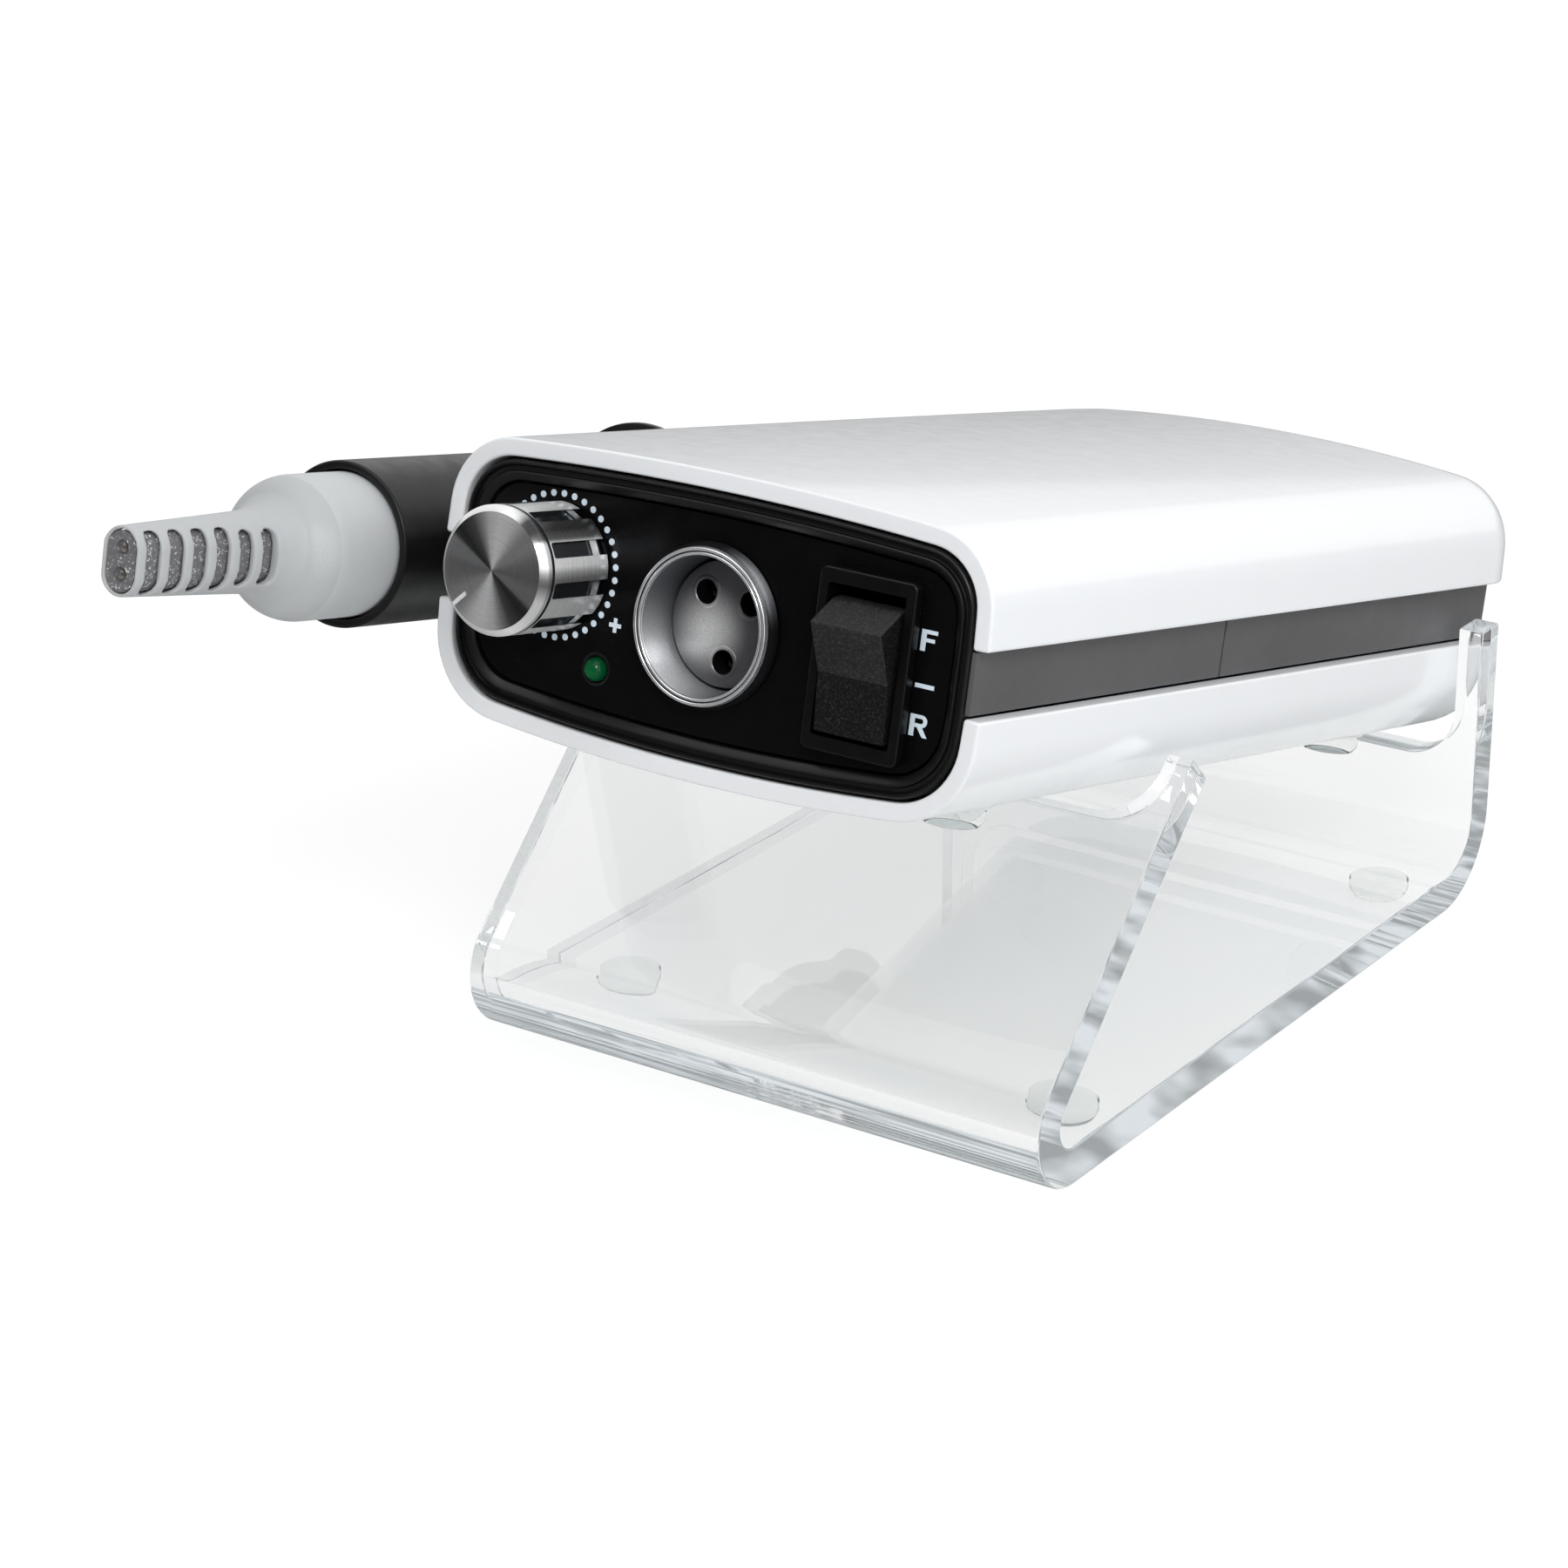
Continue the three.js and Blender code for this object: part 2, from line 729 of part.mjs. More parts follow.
function makeRailCover(side) {
  const outer = side * (boxHalfWidth - bandRecess);
  const inner = outer - side * railCoverWall;
  const bandHalf = bandHeight / 2 - bandClearance;
  return block([Math.min(inner, outer), railCoverFront, -bandHalf],
    [Math.max(inner, outer), railCoverEnd, bandHalf]);
}

// Front frame and panel

// A moulded ring: an outer lip, a groove, a sloped inner border and a ledge that carries the panel.
function makeFrontFrame() {
  const profile = [
    [frameOuterInset, frameBackY],
    [frameOuterInset, frameLipShoulderY],
    [frameLipInset, frameLipY],
    [frameLipInner, frameLipY],
    [frameGrooveOuter, frameGrooveY],
    [frameGrooveInner, frameGrooveY],
    [frameBorderInset, frameBorderY],
    [frameOpeningInset, frameOpeningY],
    [frameOpeningInset, frameLedgeY],
    [frameLedgeInset, frameLedgeY],
    [frameLedgeInset, frameLedgeBackY],
    [frameSkirtInset, frameLedgeBackY],
    [frameSkirtInset, frameBackY],
  ];
  return loft(profile.map(([inset, y]) => frontOutline(inset).map(([x, z]) => [x, y, z])), true);
}

function makeFrontPanel() {
  const back = panelFaceY + panelThickness;
  const plate = extrudedAlongY(frontOutline(frameOpeningInset + seatGap), panelFaceY, back);
  const from = panelFaceY - overrun;
  const to = back + overrun;
  const cutout = roundedRectangle(switchX, switchZ, switchBodyHalfWidth + seatGap,
    switchBodyHalfHeight + seatGap, switchBodyCorner);
  return cut(plate,
    rodAlongY(bushingRadius + seatGap, from, to, knobX, knobZ, roundSteps),
    rodAlongY(ledHoleRadius, from, to, ledX, ledZ, roundSteps),
    rodAlongY(socketBarrelRadius + seatGap, from, to, socketX, socketZ, roundSteps),
    extrudedAlongY(cutout, from, to));
}

// Speed knob: a turned cap with a ring groove, milled flutes and a pointer groove
const knobFaceY = panelFaceY - knobLength;
const knobBackY = panelFaceY - seatGap;

function makeSpeedKnob() {
  const waist = knobFaceY + knobRingStart;
  const collar = knobBackY - knobCollarLength;
  const bore = sleeveRadius + seatGap;
  const boreEnd = knobFaceY + knobFaceThickness;
  const recessStart = knobBackY - knobRecessDepth;
  const body = turned([
    [0, knobFaceY],
    [knobFaceRadius - knobChamfer, knobFaceY],
    [knobFaceRadius, knobFaceY + knobChamfer],
    [knobFaceRadius, waist],
    [knobFaceRadius - knobRingDepth, waist],
    [knobFaceRadius - knobRingDepth, waist + knobRingWidth],
    [knobFaceRadius, waist + knobRingWidth],
    [knobFaceRadius, collar],
    [knobCollarRadius, collar],
    [knobCollarRadius, knobBackY],
    [knobRecessRadius, knobBackY],
    [knobRecessRadius, recessStart],
    [bore, recessStart],
    [bore, boreEnd],
    [0, boreEnd],
  ], knobX, knobZ, fineRoundSteps);
  const flutes = [];
  for (let i = 0; i < knobFluteCount; i++) {
    flutes.push(knobFlute(knobFluteTurn + 2 * Math.PI * i / knobFluteCount));
  }
  return cut(body, ...flutes, knobPointer());
}

// One milled pocket with a round front end, turned to its place on the knob.
function knobFlute(angle) {
  const start = knobFaceY + knobFluteStart;
  const half = knobFluteWidth / 2;
  const shape = new THREE.Shape();
  shape.moveTo(half, start + knobFluteLength);
  shape.lineTo(-half, start + knobFluteLength);
  shape.lineTo(-half, start + half);
  shape.absarc(0, start + half, half, Math.PI, 2 * Math.PI, false);
  const geometry = new THREE.ExtrudeGeometry(shape,
    { depth: knobFluteDepth + overrun, bevelEnabled: false, curveSegments: 4 });
  geometry.translate(0, 0, knobFaceRadius - knobFluteDepth).rotateY(angle);
  return solidOf(movedBy(geometry, knobX, 0, knobZ));
}

// The pointer groove across the outer part of the knob's face.
function knobPointer() {
  const inner = knobFaceRadius * knobPointerInnerShare;
  const geometry = new THREE.BoxGeometry(knobFaceRadius + overrun - inner, 2 * knobPointerDepth,
    knobPointerWidth);
  geometry.translate((knobFaceRadius + overrun + inner) / 2, knobFaceY, 0).rotateY(-knobPointerAngle);
  return solidOf(movedBy(geometry, knobX, 0, knobZ));
}

function makeKnobSleeve() {
  const front = knobFaceY + knobFaceThickness + seatGap;
  const back = knobBackY - knobRecessDepth;
  return tubeAlongY(shaftRadius + seatGap, sleeveRadius, front, back, knobX, knobZ);
}

function makePotShaft() {
  const tip = knobFaceY + knobFaceThickness + seatGap;
  const shaft = rodAlongY(shaftRadius, tip, shaftEndY, knobX, knobZ, 24);
  const slot = block([knobX - shaftRadius - overrun, tip - overrun, knobZ - shaftSlotWidth / 2],
    [knobX + shaftRadius + overrun, tip + shaftSlotLength, knobZ + shaftSlotWidth / 2]);
  return cut(shaft, slot);
}

function makePotBody() {
  const bore = shaftRadius + runningGap;
  return turned([
    [0, shaftEndY + seatGap],
    [bore, shaftEndY + seatGap],
    [bore, bushingFrontY],
    [bushingRadius, bushingFrontY],
    [bushingRadius, potFrontY],
    [potRadius, potFrontY],
    [potRadius, potFrontY + potLength],
    [0, potFrontY + potLength],
  ], knobX, knobZ);
}

function makePotNut() {
  const corner = nutFlats / 2 / Math.cos(Math.PI / 6);
  const front = knobBackY - nutThickness;
  const hex = rodAlongY(corner, front, knobBackY, knobX, knobZ, 6);
  return cut(hex, rodAlongY(bushingRadius + seatGap, front - overrun, knobBackY + overrun, knobX, knobZ, 24));
}

// Status light
function makeStatusLed() {
  const flange = panelFaceY + panelThickness + seatGap;
  const profile = [[0, panelFaceY - ledRadius]];
  for (let i = 1; i <= 4; i++) {
    const angle = Math.PI / 2 * i / 4;
    profile.push([ledRadius * Math.sin(angle), panelFaceY - ledRadius * Math.cos(angle)]);
  }
  profile.push([ledRadius, flange], [ledFlangeRadius, flange], [ledFlangeRadius, flange + ledFlangeLength],
    [ledRadius, flange + ledFlangeLength], [ledRadius, flange + ledBodyLength], [0, flange + ledBodyLength]);
  return turned(profile, ledX, ledZ, smallRoundSteps);
}

function makeLedHolder() {
  const front = panelFaceY + panelThickness + seatGap;
  return tubeAlongY(ledFlangeRadius + seatGap, ledHolderRadius, front, front + ledHolderLength, ledX, ledZ,
    smallRoundSteps);
}

// Handpiece socket: a satin metal cup with a rolled rim, a floor insert and three contacts

function makeSocketShell() {
  const base = panelFaceY - seatGap;
  const rise = socketRimRise;
  const shoulder = socketRimY + rise;
  return turned([
    [socketFloorRadius, socketBackY],
    [socketFloorRadius, socketFloorY],
    [socketMouthRadius, shoulder],
    [socketMouthRadius + socketRimBand, socketRimY],
    [socketRimRadius - socketRimBand, socketRimY],
    [socketRimRadius, shoulder],
    [socketBaseRadius, base],
    [socketBarrelRadius, base],
    [socketBarrelRadius, socketBackY],
    [socketFloorRadius, socketBackY],
  ], socketX, socketZ, fineRoundSteps);
}

function contactPlace(angle) {
  return [socketX + contactCircleRadius * Math.cos(angle), socketZ + contactCircleRadius * Math.sin(angle)];
}

function makeSocketInsert() {
  const radius = socketFloorRadius - seatGap;
  const disc = turned([
    [0, socketFloorY],
    [radius - insertChamfer, socketFloorY],
    [radius, socketFloorY + insertChamfer],
    [radius, insertBackY],
    [0, insertBackY],
  ], socketX, socketZ, fineRoundSteps);
  const holes = contactAngles.map((angle) => rodAlongY(contactHoleRadius, socketFloorY - overrun,
    insertBackY + overrun, ...contactPlace(angle)));
  return cut(disc, ...holes);
}

function makeSocketContact(angle) {
  return tubeAlongY(contactBore, contactRadius, contactFrontY, contactBackY, ...contactPlace(angle), smallRoundSteps);
}

// Rocker switch: a bezelled housing with a window, and a waisted rocker on two pivot pins

function makeSwitchHousing() {
  const seat = panelFaceY - seatGap;
  const drawnIn = bezelChamfer;
  const edge = roundedRectangle(switchX, switchZ, bezelHalfWidth, bezelHalfHeight, bezelCorner);
  const face = roundedRectangle(switchX, switchZ, bezelHalfWidth - drawnIn, bezelHalfHeight - drawnIn,
    bezelCorner - drawnIn);
  const bezel = loftAlongY([[seat, edge], [bezelFrontY + bezelChamfer, edge], [bezelFrontY, face]]);
  const bodyOutline = roundedRectangle(switchX, switchZ, switchBodyHalfWidth, switchBodyHalfHeight,
    switchBodyCorner);
  const body = extrudedAlongY(bodyOutline, bezelFrontY + bezelChamfer, switchBodyBackY);
  const windowOutline = roundedRectangle(switchX, switchZ, windowHalfWidth, windowHalfHeight, windowCorner);
  const window = extrudedAlongY(windowOutline, bezelFrontY - overrun, windowDepthY);
  const pivot = crossRod(pivotPinRadius + seatGap, switchBodyHalfWidth + overrun);
  let housing = cut(join(bezel, body), window, pivot);
  for (const side of [-1, 1]) {
    const z = switchZ + side * bladeSpacing;
    housing = join(housing, block(
      [switchX - bladeHalfWidth, switchBodyBackY - overrun, z - bladeHalfThick],
      [switchX + bladeHalfWidth, switchBodyBackY + bladeLength, z + bladeHalfThick]));
  }
  return housing;
}

// A round bar along X through the rocker's pivot.
function crossRod(radius, halfLong) {
  const geometry = new THREE.CylinderGeometry(radius, radius, 2 * halfLong, smallRoundSteps);
  return solidOf(movedBy(geometry.rotateZ(Math.PI / 2), switchX, rockerPivotY, switchZ));
}

// The rocker about its own pivot, level: two faces that meet in a crease, and ends that splay to the base.
function makeSwitchRocker() {
  const half = [
    [rockerFaceReach, rockerFaceHalf],
    [rockerEndReach, rockerEndHalf],
    [rockerBaseReach, rockerBaseHalf],
  ];
  const outline = [[rockerCrease, 0], ...half, ...half.slice().reverse().map(([reach, z]) => [reach, -z])];
  const shape = new THREE.Shape(outline.map(([reach, z]) => new THREE.Vector2(-reach, z)));
  const geometry = new THREE.ExtrudeGeometry(shape, { depth: 2 * rockerHalfWidth, bevelEnabled: false });
  const alongX = new THREE.Matrix4().makeBasis(new THREE.Vector3(0, 1, 0), new THREE.Vector3(0, 0, 1),
    new THREE.Vector3(1, 0, 0));
  geometry.applyMatrix4(alongX).translate(-rockerHalfWidth, 0, 0);
  const pinHalf = rockerHalfWidth + pivotPinLength;
  const pins = new THREE.CylinderGeometry(pivotPinRadius, pivotPinRadius, 2 * pinHalf, smallRoundSteps);
  return join(solidOf(geometry), solidOf(pins.rotateZ(Math.PI / 2)));
}

// Electronics and battery

function makeMainBoard() {
  const outline = roundedRectangle(0, (boardFrontY + boardRearY) / 2, boardHalfWidth,
    (boardRearY - boardFrontY) / 2, boardPostRadius);
  const shape = new THREE.Shape(outline.map(([x, y]) => new THREE.Vector2(x, y)));
  const geometry = new THREE.ExtrudeGeometry(shape, { depth: boardThickness, bevelEnabled: false });
  const board = solidOf(movedBy(geometry, 0, 0, boardZ));
  const holes = postPlaces.map(([x, y]) => rodUpright(boardHoleRadius, boardZ - overrun,
    boardZ + boardThickness + overrun, x, y, 12));
  return cut(board, ...holes);
}

function makeHeatsink() {
  const seat = boardZ + boardThickness + seatGap;
  const bar = block([-sinkHalfWidth, sinkFrontY, seat], [sinkHalfWidth, sinkFrontY + sinkLength, seat + sinkHeight]);
  const pitch = 2 * sinkHalfWidth / sinkFinCount;
  const gaps = [];
  for (let i = 0; i < sinkFinCount - 1; i++) {
    const x = -sinkHalfWidth + pitch * (i + 1);
    gaps.push(block([x - sinkFinGap / 2, sinkFrontY - overrun, seat + sinkBase],
      [x + sinkFinGap / 2, sinkFrontY + sinkLength + overrun, seat + sinkHeight + overrun]));
  }
  return cut(bar, ...gaps);
}

function makeCapacitor() {
  const seat = boardZ + boardThickness + seatGap;
  return rodUpright(capacitorRadius, seat, seat + capacitorHeight, capacitorX, capacitorY);
}

function cellX(number) {
  return (number - 2) * cellPitch;
}

function makeBatteryCell(number) {
  const end = cellFrontY + cellLength;
  return turned([
    [0, cellFrontY],
    [cellRadius, cellFrontY],
    [cellRadius, end - cellTipLength],
    [cellTipRadius, end - cellTipLength],
    [cellTipRadius, end],
    [0, end],
  ], cellX(number), cellZ, 24);
}

// A tray with three round troughs under the cells.
function makeBatteryHolder() {
  const halfWide = cellPitch + cellRadius + holderMargin;
  const bottom = floorAt(0) + seatGap;
  const top = bottom + holderRise;
  const middle = (bottom + top) / 2;
  const outline = roundedRectangle(0, middle, halfWide, (top - bottom) / 2, holderCorner);
  const start = cellFrontY - holderMargin;
  const end = cellFrontY + cellLength + holderMargin;
  const tray = extrudedAlongY(outline, start, end).intersect(lowerCavity(start, end, seatGap));
  const troughs = [1, 2, 3].map((number) => rodAlongY(cellRadius + seatGap, cellFrontY - seatGap,
    cellFrontY + cellLength + seatGap, cellX(number), cellZ, 24));
  return cut(tray, ...troughs);
}

function makePowerJack() {
  const face = boxLength - bandRecess;
  const wall = railCoverWall + seatGap + frameTongueWall;
  const bodyRear = face - wall - seatGap;
  const body = block([-jackBodyHalf, bodyRear - jackBodyLength, -jackBodyHalf], [jackBodyHalf, bodyRear, jackBodyHalf]);
  const nose = rodAlongY(jackNoseRadius, bodyRear - overrun, face, 0, 0, 24);
  const bore = rodAlongY(jackBoreRadius, face - jackBoreDepth, face + overrun, 0, 0, 24);
  const pin = rodAlongY(jackPinRadius, face - jackBoreDepth - overrun, face - jackPinRadius, 0, 0, 12);
  return join(cut(join(body, nose), bore), pin);
}

// Handpiece

function makePenHousing() {
  const lip = penLipRadius;
  return turned([
    [penPlugBore, penRearY + lip],
    [penPlugBore + lip / 3, penRearY],
    [penRadius - lip / 2, penRearY],
    [penRadius, penRearY + lip / 2],
    [penRadius, penGripStartY],
    [(penRadius + penGripRadius) / 2, (penGripStartY * 2 + penGripEndY) / 3],
    [penGripRadius, (penGripStartY + penGripEndY * 2) / 3],
    [penGripRadius, penGripEndY],
    [penNeckBore, penGripEndY],
    [penNeckBore, penMotorEndY],
    [penMotorBore, penMotorEndY],
    [penMotorBore, penRearY + penPlugDepth],
    [penPlugBore, penRearY + penPlugDepth],
    [penPlugBore, penRearY + lip],
  ], penX, penZ, fineRoundSteps);
}

// An upright oblong about the handpiece's axis, as [x, z] pairs.
function oblong(halfWide, halfHigh) {
  return roundedRectangle(penX, penZ, halfWide, halfHigh, Math.min(halfWide, halfHigh), 4);
}

// The moulded boot: a drum, a domed shoulder, and a flat tapering tail with slots on both sides.
function makeStrainRelief() {
  const drumFront = penRearY - reliefDrumLength;
  const profile = [[0, penRearY + penPlugDepth - seatGap], [reliefDrumRadius, penRearY + penPlugDepth - seatGap]];
  const rise = reliefShoulder;
  const depth = drumFront - reliefFaceY;
  for (let i = 0; i <= 5; i++) {
    const angle = Math.PI / 2 * i / 5;
    profile.push([reliefDrumRadius - rise + rise * Math.cos(angle), drumFront - depth * Math.sin(angle)]);
  }
  profile.push([0, reliefFaceY]);
  const drum = turned(profile, penX, penZ);
  const stations = [
    [reliefTipY, oblong(reliefTipHalfWidth, reliefTipHalfHeight)],
    [reliefFaceY - reliefFlareLength, oblong(reliefRootHalfWidth, reliefRootHalfHeight)],
    [reliefFaceY, oblong(reliefRootHalfWidth + reliefFlare / 2, reliefRootHalfHeight + reliefFlare / 2)],
    [drumFront, oblong(reliefRootHalfWidth + reliefFlare, reliefRootHalfHeight + reliefFlare)],
  ];
  const tail = loftAlongY(stations);
  const bore = extrudedAlongY(oblong(coreHalfWidth + seatGap, coreHalfHeight + seatGap),
    reliefTipY - overrun, penRearY + penPlugDepth + overrun);
  const slots = [];
  for (let i = 0; i < slotCount; i++) {
    const y = slotFirstY + slotPitch * i;
    slots.push(block([penX - reliefDrumRadius, y - slotWidth / 2, penZ - slotHalfHeight],
      [penX + reliefDrumRadius, y + slotWidth / 2, penZ + slotHalfHeight]));
  }
  return cut(join(drum, tail), bore, ...slots);
}

function makeCordCore() {
  return extrudedAlongY(oblong(coreHalfWidth, coreHalfHeight), reliefTipY + seatGap, coreInnerY);
}

function makeMotorCan() {
  return turned([
    [0, motorRearY],
    [motorRadius, motorRearY],
    [motorRadius, motorFrontY],
    [motorBore, motorFrontY],
    [motorBore, motorRearY + motorFloor],
    [0, motorRearY + motorFloor],
  ], penX, penZ);
}

function rearBearingY() {
  return motorRearY + motorFloor + bearingInset;
}

function frontBearingY() {
  return motorFrontY - bearingInset - bearingWidth;
}

function makeBearing(startY) {
  return tubeAlongY(spindleRadius + seatGap, bearingRadius, startY, startY + bearingWidth, penX, penZ, 24);
}

function makeRotor() {
  const start = rearBearingY() + bearingWidth + rotorMargin;
  const end = frontBearingY() - rotorMargin;
  return tubeAlongY(spindleRadius + seatGap, rotorRadius, start, end, penX, penZ, 24);
}

function makeSpindle() {
  return rodAlongY(spindleRadius, rearBearingY() - spindleRearGap, spindleFrontY, penX, penZ);
}

// The lock ring that opens the chuck, with rounded grip ridges made by a cosine.
function makeTwistRing() {
  const outline = [];
  const count = twistRidgeCount * 4;
  for (let i = 0; i < count; i++) {
    const angle = 2 * Math.PI * i / count;
    const radius = twistRadius + twistRidge * Math.cos(twistRidgeCount * angle);
    outline.push([penX + radius * Math.cos(angle), penZ + radius * Math.sin(angle)]);
  }
  const ring = extrudedAlongY(outline, twistStartY, twistEndY);
  return cut(ring, rodAlongY(noseStemRadius + runningGap, twistStartY - overrun, twistEndY + overrun,
    penX, penZ, roundSteps));
}

function makeNoseCone() {
  const shoulder = twistEndY + seatGap;
  const run = noseTipY - shoulder;
  return turned([
    [noseBore, noseStemStartY],
    [noseStemRadius, noseStemStartY],
    [noseStemRadius, shoulder],
    [noseRadius, shoulder],
    [noseRadius, shoulder + run / 5],
    [(noseRadius + noseTipRadius) / 2, shoulder + run / 2],
    [noseTipRadius, noseTipY - run / 8],
    [noseTipRadius, noseTipY],
    [noseBore, noseTipY],
    [noseBore, noseStemStartY],
  ], penX, penZ);
}

function makeCollet() {
  return turned([
    [0, spindleFrontY + seatGap],
    [colletRadius, spindleFrontY + seatGap],
    [colletRadius, colletTipY - colletChamfer],
    [colletRadius - colletChamfer, colletTipY],
    [colletBore, colletTipY],
    [colletBore, twistEndY],
    [0, twistEndY],
  ], penX, penZ, smallRoundSteps);
}

// The ring cradle: a sleeve round the handpiece with a raised rim, trimmed flat against the shells, and a
// foot that sits in the band's recess.
function makeCradle() {
  const bore = penRadius + seatGap;
  const edge = cradleEdge;
  const rim = cradleEndY - cradleRimWidth;
  const ring = turned([
    [bore, cradleStartY + edge / 2],
    [bore + edge / 2, cradleStartY],
    [cradleRadius - edge, cradleStartY],
    [cradleRadius, cradleStartY + edge],
    [cradleRadius, rim - edge],
    [cradleRimRadius, rim],
    [cradleRimRadius, cradleEndY - edge / 2],
    [cradleRimRadius - edge / 2, cradleEndY],
    [bore + edge / 2, cradleEndY],
    [bore, cradleEndY - edge / 2],
    [bore, cradleStartY + edge / 2],
  ], penX, penZ, fineRoundSteps);
  const side = -(boxHalfWidth + seatGap);
  const reach = cradleRimRadius + overrun;
  const trim = block([side, cradleStartY - overrun, penZ - reach],
    [penX + reach, cradleEndY + overrun, penZ + reach]);
  const footHalf = bandHeight / 2 - bandClearance - seatGap;
  const footY = cradleStartY + edge / 2;
  const foot = block([penX + bore - edge, footY, -footHalf],
    [-(boxHalfWidth - bandRecess + seatGap), footY + cradleBaseLength, footHalf]);
  const clear = rodAlongY(bore, cradleStartY - overrun, cradleEndY + overrun, penX, penZ, fineRoundSteps);
  return cut(join(cut(ring, trim), foot), clear);
}

// Clear stand

// Height of the box's underside, in the product frame, over a line at depth y.
function undersideAt(y) {
  const centreY = boxFrontY - lowerCrown * Math.sin(boxPitch);
  const centreZ = boxBandZ - lowerCrown * Math.cos(boxPitch);
  return centreZ - (y - centreY) * Math.tan(boxPitch);
}

// The sheet's folded profile in [y, z], from the front wall's upper edge round both bends.
function standProfile() {
  const lean = frontWallAngle;
  const inner = frontBendRadius - sheet;
  const tangentY = frontBendY - frontBendRadius * Math.sin(lean);
  const tangentZ = frontBendRadius + frontBendRadius * Math.cos(lean);
  const run = (frontWallTop - tangentZ) / Math.sin(lean);
  const topY = tangentY + run * Math.cos(lean);
  const rearCentreY = rearWallY - rearBendRadius;
  const shape = new THREE.Shape();
  shape.moveTo(topY + sheet * Math.sin(lean), frontWallTop - sheet * Math.cos(lean));
  shape.lineTo(topY, frontWallTop);
  shape.absarc(frontBendY, frontBendRadius, frontBendRadius, Math.PI - lean, 1.5 * Math.PI, false);
  shape.absarc(rearCentreY, rearBendRadius, rearBendRadius, 1.5 * Math.PI, 2 * Math.PI, false);
  shape.lineTo(rearWallY, rearWallTop);
  shape.lineTo(rearWallY - sheet, rearWallTop);
  shape.absarc(rearCentreY, rearBendRadius, rearBendRadius - sheet, 2 * Math.PI, 1.5 * Math.PI, true);
  shape.absarc(frontBendY, frontBendRadius, inner, 1.5 * Math.PI, Math.PI - lean, true);
  return { shape, topY };
}

// A rounded U notch, open upwards, with its floor at height zero, drawn in [x, height].
function notchTool(depth, thickness) {
  const shape = new THREE.Shape();
  shape.moveTo(notchHalfWidth, depth + overrun);
  shape.lineTo(-notchHalfWidth, depth + overrun);
  shape.absarc(-notchHalfWidth + notchCorner, notchCorner, notchCorner, Math.PI, 1.5 * Math.PI, false);
  shape.absarc(notchHalfWidth - notchCorner, notchCorner, notchCorner, 1.5 * Math.PI, 2 * Math.PI, false);
  const settings = { depth: thickness + 2 * overrun, bevelEnabled: false, curveSegments: bendSteps };
  return new THREE.ExtrudeGeometry(shape, settings).translate(0, 0, -overrun);
}

function makeStand() {
  const { shape, topY } = standProfile();
  const settings = { depth: 2 * standHalfWidth, bevelEnabled: false, curveSegments: bendSteps };
  const profile = new THREE.ExtrudeGeometry(shape, settings);
  const alongX = new THREE.Matrix4().makeBasis(new THREE.Vector3(0, 1, 0), new THREE.Vector3(0, 0, 1),
    new THREE.Vector3(1, 0, 0));
  const folded = solidOf(profile.applyMatrix4(alongX).translate(-standHalfWidth, 0, 0));
  return cut(folded, frontNotch(topY), rearNotch());
}

// The front wall leans, so its notch is cut square to the wall, down to the box's underside.
function frontNotch(topY) {
  const lean = frontWallAngle;
  const slope = Math.tan(boxPitch);
  const fall = frontWallTop - (undersideAt(topY) - seatGap);
  const depth = fall / (Math.sin(lean) + slope * Math.cos(lean));
  const floorY = topY - depth * Math.cos(lean);
  const floorZ = frontWallTop - depth * Math.sin(lean);
  const tool = notchTool(depth, sheet).rotateX(lean);
  return solidOf(movedBy(tool, 0, floorY + sheet * Math.sin(lean), floorZ - sheet * Math.cos(lean)));
}

function rearNotch() {
  const floorZ = undersideAt(rearWallY) - seatGap;
  const tool = notchTool(rearWallTop - floorZ, sheet).rotateX(Math.PI / 2);
  return solidOf(movedBy(tool, 0, rearWallY, floorZ));
}

// Assembly

const product = new THREE.Group();
const box = new THREE.Group();
box.position.set(0, boxFrontY, boxBandZ);
box.rotation.x = -boxPitch;
product.add(box);
const rocker = new THREE.Group();
rocker.position.set(switchX, rockerPivotY, switchZ);
rocker.rotation.x = rockerTilt;
box.add(rocker);

function add(parent, name, solid, finish) {
  const { vertProperties, triVerts } = solid.getMesh();
  const geometry = new THREE.BufferGeometry();
  geometry.setAttribute('position', new THREE.BufferAttribute(new Float32Array(vertProperties), 3));
  geometry.setIndex(new THREE.BufferAttribute(new Uint32Array(triVerts), 1));
  geometry.computeVertexNormals();
  const mesh = new THREE.Mesh(geometry, new THREE.MeshStandardMaterial({ ...finish }));
  mesh.name = name;
  parent.add(mesh);
}

add(product, 'acrylic_stand', makeStand(), finishes.acrylic);
const standFeet = [[-standFootX, standFootFrontY], [standFootX, standFootFrontY],
  [-standFootX, standFootRearY], [standFootX, standFootRearY]];
standFeet.forEach(([x, y], i) => {
  add(product, `stand_foot_${i + 1}`, makeBumper(x, y, 0), finishes.clearRubber);
});

add(box, 'upper_shell', makeUpperShell(), finishes.whiteShell);
add(box, 'lower_shell', makeLowerShell(), finishes.whiteShell);
add(box, 'mid_frame', makeMidFrame(), finishes.greyBand);
add(box, 'rail_cover_right', makeRailCover(1), finishes.greyBand);
add(box, 'rail_cover_left', makeRailCover(-1), finishes.greyBand);
add(box, 'front_frame', makeFrontFrame(), finishes.blackFrame);
add(box, 'front_panel', makeFrontPanel(), finishes.glossBlack);
add(box, 'status_led', makeStatusLed(), finishes.greenLens);
add(box, 'led_holder', makeLedHolder(), finishes.blackFrame);
add(box, 'socket_shell', makeSocketShell(), finishes.satinSilver);
add(box, 'socket_insert', makeSocketInsert(), finishes.satinSilver);
contactAngles.forEach((angle, i) => {
  add(box, `socket_contact_${i + 1}`, makeSocketContact(angle), finishes.brass);
});
